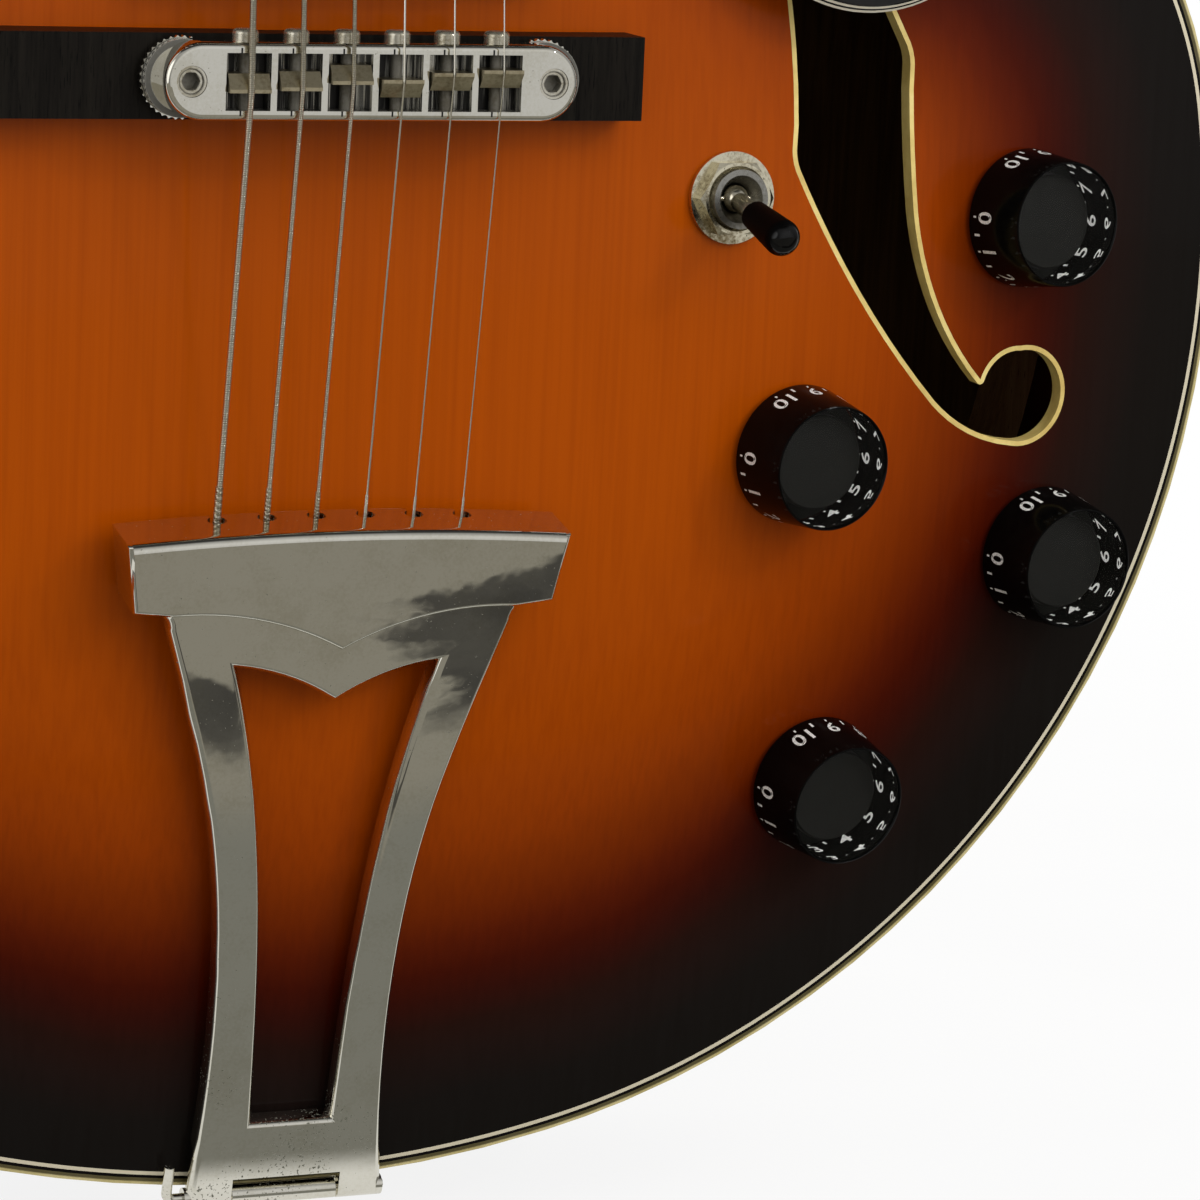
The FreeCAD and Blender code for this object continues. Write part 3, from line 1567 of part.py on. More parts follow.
def make_toggle_lever():
    ball = Part.makeSphere(lever_ball_radius)
    shaft = pole(lever_radius, 0, lever_length)
    pin = lever_pin(0, lever_pin_half, 0)
    return placed(joined([ball, shaft, pin]), switch_lean())


def make_toggle_tip():
    end = tip_start + tip_length
    profile = [(0, lever_length), (lever_radius, lever_length), (lever_radius, tip_start)]
    profile += [(tip_radius_low, tip_start), (tip_radius_top, end), (0, end)]
    tip = spun(profile)
    crown = [e for e in tip.Edges if e.BoundBox.ZMin > end - 0.01 and e.BoundBox.XLength > tip_radius_top]
    return placed(tip.makeFillet(tip_round, crown), switch_lean())


def make_output_jack():
    inner = -side_thick - 0.3
    barrel = pole(jack_barrel_radius, inner, 0.15 + jack_washer_thick + jack_nut_thick + 0.8)
    case = pole(jack_body_radius, 4 - jack_bore_length, inner)
    end = 0.15 + jack_washer_thick + jack_nut_thick + 0.8
    bore = pole(jack_bore_radius, end - jack_bore_length, end + 5)
    return placed(barrel.fuse(case).removeSplitter().cut(bore), jack_frame())


# pickguard


def guard_frame():
    # lies in a plane that falls gently towards the neck
    return FreeCAD.Placement(at(0, guard_height, guard_low_z), FreeCAD.Rotation(V(1, 0, 0), -guard_slope_deg))


def guard_outline():
    high = guard_length
    spread = math.radians(48)
    centre = V(guard_low_x, 0, guard_end_radius)
    left = centre + V(-guard_end_radius * math.sin(spread), 0, -guard_end_radius * math.cos(spread))
    right = centre + V(guard_end_radius * math.sin(spread), 0, -guard_end_radius * math.cos(spread))
    inner_low = V(guard_inner_x, 0, 44)
    inner_high = V(guard_inner_x, 0, high)
    tip = V(guard_inner_x + 22, 0, high)
    edges = [Part.Arc(left, V(guard_low_x, 0, 0), right).toShape()]
    edges.append(Part.Arc(right, V(guard_outer_x, 0, 74), tip).toShape())
    edges.append(Part.makeLine(tip, inner_high))
    edges.append(Part.makeLine(inner_high, inner_low))
    edges.append(Part.Arc(inner_low, V(62, 0, 23), left).toShape())
    return Part.Wire(edges)


def make_pickguard():
    sheet = prism(guard_outline(), -guard_thick, 0)
    rim = [e for e in sheet.Edges if e.BoundBox.YMax < 0.01 - guard_thick]
    return placed(sheet.makeChamfer(guard_bevel, rim), guard_frame())


def rim_x(z):
    line = Part.makeLine(V(0, 0, z), V(lower_bout, 0, z))
    points = body_outline(0).section(line).Vertexes
    return min(p.Point.x for p in points)


def guard_post_spot():
    return (guard_inner_x + 8, guard_low_z + guard_length - 10)


def make_pickguard_bracket():
    edge = rim_x(bracket_z)
    level = guard_frame().multVec(V(0, 0, bracket_z - guard_low_z))
    rod_y = level.y + bracket_radius
    start = V(edge - 44, rod_y, bracket_z)
    corner = V(edge + bracket_radius + 1.6, rod_y, bracket_z)
    end = V(edge + bracket_radius + 1.6, front + bracket_drop, bracket_z)
    rod = tube(bent_path([start, corner, end], 5.0), bracket_radius)
    pad_half = bracket_pad / 2
    pad_top = front + bracket_drop
    pad = box(edge - 1, edge + bracket_pad_thick, pad_top - pad_half, pad_top + bracket_pad,
              bracket_z - pad_half, bracket_z + pad_half)
    pad = pad.cut(body_prism(0, front, back))
    post_spot = guard_post_spot()
    ground = top_point(post_spot[0], post_spot[1])
    lid = guard_frame().multVec(V(0, 0, post_spot[1] - guard_low_z))
    foot = V(post_spot[0], ground.y + 6, post_spot[1])
    post = Part.makeCylinder(4.0, foot.y - lid.y, foot, V(0, -1, 0))
    under = placed(box(-20, 240, 0, 90, -60, 260), guard_frame())
    post = post.common(over_top(0)).common(under)
    return group([joined([rod, pad]), post])


# buttons and screws


def button():
    profile = [(0, -14), (screw_radius, -14), (screw_radius, 0), (button_neck_radius + 1.2, 0)]
    profile += [(button_neck_radius, 3), (button_neck_radius, button_height - 5)]
    profile += [(button_radius, button_height - 3), (button_radius, button_height - 1), (0, button_height)]
    return spun(profile)


def heel_button_frame():
    spot = V(0, heel_cap, body_length + heel_foot / 2)
    return FreeCAD.Placement(spot, FreeCAD.Rotation(V(0, 0, 1), V(0, 1, 0)))


def tail_button_frame():
    return FreeCAD.Placement(V(0, 0, -hanger_thick), FreeCAD.Rotation(V(0, 0, 1), V(0, 0, -1)))


def make_strap_buttons():
    return group([placed(button(), tail_button_frame()), placed(button(), heel_button_frame())])


def screw():
    profile = [(0, -screw_length), (screw_radius, -screw_length), (screw_radius, 0), (screw_head_radius, 0)]
    profile += [(screw_head_radius, screw_head_thick * 0.4), (screw_head_radius * 0.6, screw_head_thick)]
    profile.append((0, screw_head_thick))
    return spun(profile)


def screw_frames():
    frames = []
    outward = FreeCAD.Rotation(V(0, 0, 1), V(0, -1, 0))
    for y in hanger_screw_places():
        frames.append(FreeCAD.Placement(V(0, y, -hanger_thick), FreeCAD.Rotation(V(0, 0, 1), V(0, 0, -1))))
    for z in [place[0] for place in pickup_places]:
        for side_x in (-1, 1):
            for side_z in (-1, 1):
                x = side_x * (ring_length / 2 - 4.2)
                spot = at(x, ring_height(z), z + side_z * (ring_width / 2 - 4.2))
                frames.append(FreeCAD.Placement(spot, outward))
    spot = V(rim_x(bracket_z) + bracket_pad_thick, front + bracket_drop + bracket_pad * 0.62, bracket_z)
    frames.append(FreeCAD.Placement(spot, FreeCAD.Rotation(V(0, 0, 1), V(1, 0, 0))))
    x, z = guard_post_spot()
    lid = FreeCAD.Placement(V(x, -guard_thick, z - guard_low_z), outward)
    frames.append(guard_frame().multiply(lid))
    for x, z in ((-6, 6.5), (6, 6.5), (0, 33)):
        frames.append(head_frame.multiply(FreeCAD.Placement(V(x, -rod_cover_thick, z), outward)))
    return frames


def make_screws():
    return group([placed(screw(), frame) for frame in screw_frames()])


def screw_holes():
    return [placed(pole(screw_radius, -screw_length, 5), frame) for frame in screw_frames()]


def button_holes():
    hole = pole(screw_radius, -14, 1)
    return [placed(hole, tail_button_frame()), placed(hole, heel_button_frame())]


def make_all():
    holes = screw_holes() + button_holes()
    parts = {}
    parts["top_plate"] = make_top_plate().cut(holes)
    parts["back_plate"] = make_back_plate()
    parts["sides"] = make_sides().cut(holes)
    parts["linings_and_blocks"] = make_linings().cut(holes)
    parts["tone_bars"] = make_tone_bars()
    parts["bindings"] = make_bindings()
    parts["f_hole_bindings"] = make_f_bindings()
    parts["neck"] = make_neck().cut(holes)
    parts["fingerboard"] = make_fingerboard()
    parts["frets"] = make_frets()
    parts["position_markers"] = make_markers()
    parts["nut"] = make_nut()
    parts["truss_rod"] = make_truss_rod()
    parts["truss_rod_cover"] = make_rod_cover().cut(holes)
    parts["headstock_overlay"] = make_overlay().cut(holes)
    parts["pickguard"] = make_pickguard().cut(holes)
    parts["pickguard_bracket"] = make_pickguard_bracket().cut(holes)
    parts["bridge_base"] = make_bridge_base()
    parts["bridge_posts"] = make_bridge_posts()
    parts["tailpiece_hanger"] = make_tail_hanger()
    parts["strap_buttons"] = make_strap_buttons()
    parts["strings"] = make_strings()
    parts["pickup_rings"] = make_pickup_rings().cut(holes)
    parts["pickup_covers"] = make_pickup_covers()
    parts["pickup_coils"] = make_pickup_coils()
    parts["control_pots"] = make_control_pots()
    parts["switch_body"] = make_switch_body()
    parts["panel_nuts"] = make_panel_nuts()
    parts["output_jack"] = make_output_jack()
    parts["tuner_housings"] = make_tuner_housings()
    parts["mounting_screws"] = make_screws()
    for name, place in zip(knob_names, knob_places):
        parts[name] = make_knob(place)
    parts["toggle_lever"] = make_toggle_lever()
    parts["toggle_tip"] = make_toggle_tip()
    parts["thumbwheel_bass"] = make_thumbwheel(-1)
    parts["thumbwheel_treble"] = make_thumbwheel(1)
    parts["bridge_body"] = make_bridge_body()
    parts["saddle_screws"] = make_saddle_screws()
    parts["tailpiece"] = make_tailpiece()
    for index in range(6):
        parts["saddle_%d" % (6 - index)] = make_saddle(index)
        parts["tuner_key_%d" % (6 - index)] = make_tuner_key(index)
        parts["tuner_post_%d" % (6 - index)] = make_tuner_post(index)
    return parts


def main():
    os.makedirs("parts", exist_ok=True)
    for name, shape in make_all().items():
        shape.exportStep("parts/%s.step" % name)


if __name__ == "__main__":
    main()
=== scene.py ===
import json
import math

import bmesh
import bpy
from mathutils import Matrix, Vector


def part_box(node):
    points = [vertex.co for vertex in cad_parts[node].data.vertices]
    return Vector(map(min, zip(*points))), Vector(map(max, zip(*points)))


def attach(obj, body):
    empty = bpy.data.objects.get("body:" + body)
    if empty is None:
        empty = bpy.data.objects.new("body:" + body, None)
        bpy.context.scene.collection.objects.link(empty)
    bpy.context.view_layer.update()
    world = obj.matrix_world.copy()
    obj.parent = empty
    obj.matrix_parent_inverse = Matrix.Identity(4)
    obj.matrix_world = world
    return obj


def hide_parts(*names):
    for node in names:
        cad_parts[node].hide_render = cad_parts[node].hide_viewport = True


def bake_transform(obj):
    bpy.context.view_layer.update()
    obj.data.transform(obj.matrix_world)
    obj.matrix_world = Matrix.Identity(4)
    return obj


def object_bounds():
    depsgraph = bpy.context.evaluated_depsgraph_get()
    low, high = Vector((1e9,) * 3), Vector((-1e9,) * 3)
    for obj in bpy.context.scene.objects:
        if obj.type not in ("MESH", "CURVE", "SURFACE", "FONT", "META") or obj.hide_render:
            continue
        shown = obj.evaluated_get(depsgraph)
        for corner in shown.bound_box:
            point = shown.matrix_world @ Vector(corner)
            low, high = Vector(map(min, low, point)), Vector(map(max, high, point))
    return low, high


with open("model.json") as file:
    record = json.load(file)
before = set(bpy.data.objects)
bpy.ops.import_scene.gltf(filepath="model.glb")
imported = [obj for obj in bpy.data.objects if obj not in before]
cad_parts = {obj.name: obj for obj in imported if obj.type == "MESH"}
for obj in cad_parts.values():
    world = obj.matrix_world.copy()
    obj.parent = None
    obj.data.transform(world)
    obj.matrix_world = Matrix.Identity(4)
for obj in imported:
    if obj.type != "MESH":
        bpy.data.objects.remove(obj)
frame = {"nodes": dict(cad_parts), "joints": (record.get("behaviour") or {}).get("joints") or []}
cadBox = [list(corner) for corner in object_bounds()]
nodes = frame["nodes"]
jointOf = {joint["child"]: joint for joint in frame["joints"]}
white = (1.0, 1.0, 1.0, 1.0)
stringCount = 6
middleString = (stringCount - 1) / 2
print("frame loaded with", len(nodes), "nodes")


def rgb(red, green, blue):
    # an 8-bit colour as the renderer's linear one
    linear = []
    for part in (red, green, blue):
        share = part / 255
        linear.append(share / 12.92 if share <= 0.04045 else ((share + 0.055) / 1.055) ** 2.4)
    return (*linear, 1.0)


def tones(stops):
    # ramp stops from 8-bit colours
    return [(place, rgb(*colour)) for place, colour in stops]


class Flow:
    # one socket of a node tree; arithmetic on it adds Math nodes
    def __init__(self, tree, socket=None):
        self.tree = tree
        self.socket = socket

    def node(self, kind, settings=None, inputs=None, output=0):
        made = self.tree.nodes.new(kind)
        for key, value in (settings or {}).items():
            if key == "stops":
                elements = made.color_ramp.elements
                while len(elements) < len(value):
                    elements.new(1.0)
                for element, (position, colour) in zip(elements, value):
                    element.position = position
                    element.color = colour
            else:
                setattr(made, key, value)
        for key, value in (inputs or {}).items():
            if isinstance(value, Flow):
                self.tree.links.new(value.socket, made.inputs[key])
            else:
                made.inputs[key].default_value = value
        return Flow(self.tree, made.outputs[output] if len(made.outputs) else None)

    def maths(self, operation, *values):
        return self.node("ShaderNodeMath", {"operation": operation}, dict(enumerate(values)))

    def vector(self, operation, values, output=0):
        return self.node("ShaderNodeVectorMath", {"operation": operation}, values, output)

    def __add__(self, other):
        return self.maths("ADD", self, other)

    __radd__ = __add__

    def __sub__(self, other):
        return self.maths("SUBTRACT", self, other)

    def __rsub__(self, other):
        return self.maths("SUBTRACT", other, self)

    def __mul__(self, other):
        return self.maths("MULTIPLY", self, other)

    __rmul__ = __mul__

    def __truediv__(self, other):
        return self.maths("DIVIDE", self, other)

    def __gt__(self, other):
        return self.maths("GREATER_THAN", self, other)

    def __lt__(self, other):
        return self.maths("LESS_THAN", self, other)

    def __abs__(self):
        return self.maths("ABSOLUTE", self)

    def least(self, other):
        return self.maths("MINIMUM", self, other)

    def most(self, other):
        return self.maths("MAXIMUM", self, other)

    def pick(self, off, on):
        # off where this mask is 0, on where it is 1
        return off + self * (on - off)

    def tint(self, off, on):
        # the same for colours
        return self.node("ShaderNodeMix", {"data_type": "RGBA"}, {0: self, 6: off, 7: on}, 2)

    def ramp(self, stops):
        return self.node("ShaderNodeValToRGB", {"stops": stops}, {0: self})

    def span(self, low, high):
        # 0 at low, 1 at high, smooth between
        settings = {"interpolation_type": "SMOOTHSTEP"}
        return self.node("ShaderNodeMapRange", settings, {"Value": self, "From Min": low, "From Max": high})

    def band(self, rise, top, fall, end):
        # 1 from top to fall, 0 before rise and after end
        return self.span(rise, top) * (1 - self.span(fall, end))

    def shade(self, other, amount):
        # a colour multiplied by another
        settings = {"data_type": "RGBA", "blend_type": "MULTIPLY"}
        return self.node("ShaderNodeMix", settings, {0: amount, 6: self, 7: other}, 2)

    def spot(self):
        # the place on the object, in millimetres
        raw = self.node("ShaderNodeTexCoord", None, None, "Object")
        return self.vector("SCALE", {0: raw, "Scale": 1000.0})

    def facing(self, *direction):
        # how far the surface faces this way, 1 to -1
        return self.node("ShaderNodeTexCoord", None, None, "Normal").along(*direction)

    def point(self, **axes):
        return self.node("ShaderNodeCombineXYZ", None, {axis.upper(): value for axis, value in axes.items()})

    def xyz(self):
        split = self.node("ShaderNodeSeparateXYZ", None, {0: self}).socket.node
        return [Flow(self.tree, split.outputs[i]) for i in range(3)]

    def stretch(self, *factors):
        return self.vector("MULTIPLY", {0: self, 1: factors})

    def reach(self, *centre):
        return self.vector("DISTANCE", {0: self, 1: centre}, "Value")

    def along(self, *direction):
        return self.vector("DOT_PRODUCT", {0: self, 1: direction}, "Value")

    def noise(self, scale, detail=2.0, rough=0.5):
        inputs = {"Vector": self, "Scale": scale, "Detail": detail, "Roughness": rough}
        return self.node("ShaderNodeTexNoise", None, inputs, "Fac")

    def bump(self, height, strength, distance):
        inputs = {"Height": height, "Strength": strength, "Distance": distance}
        return self.node("ShaderNodeBump", None, inputs)

    def surface(self, **sockets):
        # the main shader, its sockets named in camelCase
        names = {"colour": "Base Color", "metal": "Metallic", "rough": "Roughness", "normal": "Normal",
                 "specular": "Specular IOR Level", "coat": "Coat Weight", "coatRough": "Coat Roughness",
                 "alpha": "Alpha", "glowColour": "Emission Color", "glow": "Emission Strength"}
        inputs = {names[key]: value for key, value in sockets.items()}
        return self.node("ShaderNodeBsdfPrincipled", None, inputs)

    def glow(self, colour, strength):
        return self.node("ShaderNodeEmission", None, {"Color": colour, "Strength": strength})

    def mixed(self, off, on):
        # two shaders, shared out by this mask
        return self.node("ShaderNodeMixShader", None, {0: self, 1: off, 2: on})


def newFinish(name, recipe):
    material = bpy.data.materials.new(name)
    material.use_nodes = True
    material.node_tree.nodes.clear()
    flow = Flow(material.node_tree)
    flow.node("ShaderNodeOutputMaterial", None, {"Surface": recipe(flow)})
    return material


# the body's outline as arcs, for the distance from the edge: centre x, centre z, radius in millimetres
outlineArcs = {
    "tail": (0.0, 259.0, 259.0),
    "lower": (15.75, 192.335, 190.5),
    "hip": (112.754, 209.44, 92.0),
    "waist": (183.0, 344.234, 60.0),
    "upper": (75.0, 430.14, 78.0),
    "shoulder": (0.0, -46.9, 560.9),
    "horn": (116.457, 458.094, 28.0),
    "cutaway": (59.0, 466.0, 30.0),
}
# the straight wall of the cutaway, where the upper bout starts, and a distance that never counts
outlineLook = {"wall": 29.0, "upperStart": 380.0, "farOff": 400.0}


def beyond(x, z, first, second):
    # 1 on the left of the line from the first arc's centre to the second's
    (ax, az, _), (bx, bz, _) = outlineArcs[first], outlineArcs[second]
    length = math.hypot(bx - ax, bz - az)
    across = (bx - ax) / length
    rise = (bz - az) / length
    return (z * across - x * rise) > (az * across - ax * rise)


def edgeDistance(flow):
    # how far a point lies inside the body's outline, in millimetres
    x, _, z = flow.spot().xyz()
    half = abs(x)
    folded = flow.point(x=half, z=z)
    flat = flow.point(x=x, z=z)
    wall = outlineLook["wall"]

    def inside(name, point=folded):
        cx, cz, radius = outlineArcs[name]
        return radius - point.reach(cx, 0.0, cz)

    lowerSide = (1 - beyond(half, z, "lower", "tail")).most(z > outlineArcs["lower"][1])
    aboveLower = beyond(half, z, "lower", "hip")
    waistSide = beyond(half, z, "hip", "waist")
    upperSide = beyond(half, z, "upper", "waist")
    distance = lowerSide.pick(inside("tail"), inside("lower"))
    distance = aboveLower.pick(distance, waistSide.pick(inside("hip"), -1 * inside("waist")))
    pastUpper = (1 - beyond(half, z, "shoulder", "upper")).pick(outlineLook["farOff"], inside("upper"))
    highUp = upperSide * (z > outlineLook["upperStart"])
    distance = highUp.pick(distance, pastUpper).least(inside("shoulder"))
    hornHere = beyond(x, z, "upper", "horn") * (1 - beyond(x, z, "horn", "cutaway")) * (x > wall)
    belowBay = (z < outlineArcs["cutaway"][1]).most(x > wall)
    bay = belowBay.pick(wall - x, -1 * inside("cutaway", flat))
    return hornHere.pick(distance.least(bay), inside("horn", flat))


burstLook = {
    "stops": [(0, (19, 17, 15)), (14, (22, 18, 16)), (23, (30, 18, 15)), (30, (36, 16, 11)), (37, (51, 13, 6)),
              (43, (65, 14, 2)), (50, (86, 24, 2)), (57, (107, 36, 1)), (64, (122, 45, 1)), (72, (139, 54, 1)),
              (81, (149, 60, 1)), (94, (158, 66, 1)), (118, (165, 71, 1))],
    "reach": 120.0,
    "drift": 9.0,  # how far the burst wanders
    "backShare": (0.92, 0.8),  # the back's red and green beside the top's
    "rimStops": [(0.0, (92, 34, 8)), (0.45, (64, 20, 6)), (0.8, (30, 14, 9)), (1.0, (19, 14, 12))],
    "rimHalf": 43.0,
    "blackLine": {"from": 1.3, "to": 2.1, "colour": (15, 13, 12)},
    "whiteLine": {"from": 2.1, "to": 2.9, "colour": (205, 196, 172)},
    "joint": {"half": 0.25, "colour": (30, 14, 8)},
    "bare": [(0.35, (66, 43, 22)), (0.65, (88, 61, 34))],
    "spruce": {"span": (0.3, 0.6), "dark": (0.8, 0.74, 0.7, 1), "amount": 0.55},
    "backFlame": {"span": (0.36, 0.62), "dark": (0.5, 0.42, 0.36, 1), "amount": 0.75, "lean": 0.22},
    "rimFlame": {"span": (0.36, 0.62), "dark": (0.6, 0.52, 0.46, 1), "amount": 0.7},
    "topCoat": {"haze": (0.35, 4.0), "rough": 0.16, "specular": 0.05, "coat": 0.06},
    "backCoat": {"haze": (0.3, 3.0), "rough": 0.16, "specular": 0.0, "coat": 0.25},
    "rimCoat": {"haze": (0.3, 3.0), "rough": 0.17, "specular": 0.0, "coat": 0.12},
    "uneven": 0.12,
    "coatRough": 0.06,
}


def burstColour(distance, stops):
    reach = burstLook["reach"]
    return (distance / reach).ramp(tones([(place / reach, colour) for place, colour in stops]))


def edgeLine(distance, colour, look):
    # a thin line let in along the edge
    return ((distance > look["from"]) * (distance < look["to"])).tint(colour, rgb(*look["colour"]))


def figured(colour, figure, look):
    # a colour darkened along the wood's figure
    low, high = look["span"]
    return colour.shade(figure.ramp([(low, look["dark"]), (high, white)]), look["amount"])


def bareInside(flow, colour, outward):
    # the unfinished wood on a plate's inner face, where its normal points away from the outside
    inward = flow.facing(0.0, outward, 0.0) < -0.2
    grain = flow.spot().stretch(1.0, 1.0, 0.03).noise(0.6, 3.0, 0.6)
    return inward.tint(colour, grain.ramp(tones(burstLook["bare"])))


def lacquered(flow, colour, look, **more):
    # clear lacquer of a slightly uneven gloss
    rough = flow.spot().noise(*look["haze"]) * burstLook["uneven"] + look["rough"]
    return flow.surface(colour=colour, rough=rough, specular=look["specular"], coat=look["coat"],
                        coatRough=burstLook["coatRough"], **more)


def burstTop(flow):
    distance = edgeDistance(flow)
    spot = flow.spot()
    streak = spot.stretch(1.0, 1.0, 0.012).noise(0.9, 3.0, 0.6)  # close spruce grain along the body
    cloud = spot.stretch(1.0, 1.0, 0.35).noise(0.02, 2.0)
    colour = burstColour(distance + (cloud - 0.5) * burstLook["drift"], burstLook["stops"])
    colour = figured(colour, streak, burstLook["spruce"])
    colour = edgeLine(distance, colour, burstLook["blackLine"])
    colour = edgeLine(distance, colour, burstLook["whiteLine"])
    ripple = flow.bump(spot.stretch(1.0, 1.0, 0.3).noise(0.05, 3.0), 0.05, 0.002)
    return lacquered(flow, bareInside(flow, colour, -1.0), burstLook["topCoat"], normal=ripple)


def burstBack(flow):
    distance = edgeDistance(flow)
    x, y, z = flow.spot().xyz()
    # flamed maple: bands across, mirrored at the centre joint
    folded = flow.point(x=abs(x), y=y, z=z + abs(x) * burstLook["backFlame"]["lean"])
    flame = folded.stretch(0.12, 0.2, 1.0).noise(0.16, 2.0, 0.4)
    redShare, greenShare = burstLook["backShare"]
    stops = [(place, (int(red * redShare), int(green * greenShare), blue))
             for place, (red, green, blue) in burstLook["stops"]]
    colour = figured(burstColour(distance, stops), flame, burstLook["backFlame"])
    colour = (abs(x) < burstLook["joint"]["half"]).tint(colour, rgb(*burstLook["joint"]["colour"]))
    colour = edgeLine(distance, colour, burstLook["blackLine"])
    return lacquered(flow, bareInside(flow, colour, 1.0), burstLook["backCoat"])


def burstRim(flow):
    spot = flow.spot()
    _, y, _ = spot.xyz()
    colour = (abs(y) / burstLook["rimHalf"]).ramp(tones(burstLook["rimStops"]))
    flame = spot.stretch(1.0, 0.08, 1.0).noise(0.12, 2.0, 0.4)
    return lacquered(flow, figured(colour, flame, burstLook["rimFlame"]), burstLook["rimCoat"])


woodLooks = {
    "innerWood": {"light": (168, 122, 78), "dark": (128, 86, 50), "pore": (96, 62, 36), "rough": 0.5},
    "neckWood": {"light": (74, 28, 12), "dark": (40, 14, 8), "pore": (26, 10, 6), "rough": 0.12, "specular": 0.0,
                 "coat": 0.15},
    "rosewood": {"light": (58, 36, 24), "dark": (32, 20, 14), "pore": (16, 10, 8), "rough": 0.35},
    "ebony": {"light": (26, 23, 19), "dark": (14, 12, 10), "pore": (8, 7, 6), "rough": 0.34, "specular": 0.06},
}


def grainWood(look):
    def recipe(flow):
        spot = flow.spot()
        grain = spot.stretch(1.0, 1.0, 0.03).noise(0.8, 4.0, 0.6)
        pores = spot.stretch(1.0, 1.0, 0.05).noise(4.5, 2.0, 0.5).span(0.6, 0.68)
        colour = pores.tint(grain.ramp(tones([(0.32, look["dark"]), (0.66, look["light"])])), rgb(*look["pore"]))
        return flow.surface(colour=colour, rough=grain * 0.15 + look["rough"], specular=look.get("specular", 0.25),
                            coat=look.get("coat", 0.0), coatRough=0.08, normal=flow.bump(pores, -0.25, 0.0002))
    return recipe


# sizes in millimetres for the painted shade in the bridge's post sockets, its windows and under its saddles, and for
# the painted reflection band on the thumbwheels
paintedDarkLook = {
    "postInset": 3.0,
    "socket": (1.75, 1.95),
    "socketRing": (2.2, 2.35, 2.5, 2.65),
    "windowDepth": (0.5, 1.6),
    "windowHalf": (5.5, 5.8),
    "windowsEnd": (33.0, 33.6),
    "thread": (5.6, 6.2),
    "screwHead": (7.4, 7.7),
    "wheelStep": (6.3, 6.5, 7.5, 7.7),
}


def bridgePlan(flow, spot):
    # the distance from the nearer bridge post's axis, and the offset from the bridge's long middle line
    low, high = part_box("bridge_posts")
    x, _, z = spot.xyz()
    across = z - (low.z + high.z) * 500
    postAway = (high.x - low.x) * 500 - paintedDarkLook["postInset"]
    return flow.point(x=abs(x) - postAway, z=across).reach(0.0, 0.0, 0.0), across


def socketGrime(flow, spot):
    # painted shade in the hexagon sockets of the bridge posts and in the ring round them
    radius, _ = bridgePlan(flow, spot)
    radius = radius + (spot.noise(1.2, 3.0) - 0.5) * 0.3
    return (1 - radius.span(*paintedDarkLook["socket"])).most(radius.band(*paintedDarkLook["socketRing"])) * 0.75


def windowGrime(flow, spot):
    # painted shade on the walls of the bridge's six windows, broken in streaks
    x, y, _ = spot.xyz()
    _, across = bridgePlan(flow, spot)
    deep = (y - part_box("bridge_body")[0].y * 1000).span(*paintedDarkLook["windowDepth"])
    inside = deep * (1 - abs(across).span(*paintedDarkLook["windowHalf"])) * (1 - abs(x).span(*paintedDarkLook["windowsEnd"]))
    streak = spot.stretch(1.0, 1.0, 0.03).noise(0.9, 3.0, 0.7)
    return inside * (1 - streak.span(0.5, 0.6) * 0.75)


def threadGrime(flow, spot):
    # painted shade on the screws' threads under the saddles, less on their heads
    _, across = bridgePlan(flow, spot)
    return (1 - abs(across).span(*paintedDarkLook["thread"])) * 0.82 + abs(across).span(*paintedDarkLook["screwHead"]) * 0.2


def wheelGrime(flow, spot):
    # a painted reflection: a dark band in the turned step of each thumbwheel's face
    radius, _ = bridgePlan(flow, spot)
    return radius.band(*paintedDarkLook["wheelStep"]) * 0.85


chromeTones = {"bright": (226, 223, 212), "dull": (214, 210, 196)}
nickelTones = {"bright": (216, 210, 192), "dull": (166, 154, 126), "rough": 0.12, "haze": 0.16}
metalLooks = {
    "chrome": {**chromeTones, "rough": 0.02, "haze": 0.03, "specks": 0.72},
    "bridgeChrome": {**chromeTones, "rough": 0.03, "haze": 0.04, "specks": 0.72, "grime": windowGrime},
    "wheelChrome": {**chromeTones, "rough": 0.03, "haze": 0.04, "specks": 0.72, "grime": wheelGrime},
    "wornNickel": {**nickelTones, "specks": 0.76},
    "screwNickel": {**nickelTones, "specks": 0.74, "grime": threadGrime},
    "postNickel": {"bright": (222, 217, 202), "dull": (180, 172, 150), "rough": 0.12, "haze": 0.1, "specks": 0.74,
                   "grime": socketGrime},
    "grimyNickel": {"bright": (234, 226, 200), "dull": (126, 108, 72), "rough": 0.14, "haze": 0.2, "specks": 0.68},
    "steel": {"bright": (170, 168, 162), "dull": (128, 124, 114), "rough": 0.26, "haze": 0.16, "specks": 0.74},
    "saddleBrass": {"bright": (186, 175, 146), "dull": (146, 133, 104), "rough": 0.32, "haze": 0.06, "specks": 0.82,
                    "wave": 0.01},
}
# the specks' colour, the colour of the painted darkening, and where damp specks gather near the tail
speckLook = {"colour": (60, 62, 40), "paintedDarkening": (24, 21, 16), "dampTop": 64.0, "dampFoot": 14.0, "dampShare": 0.12}


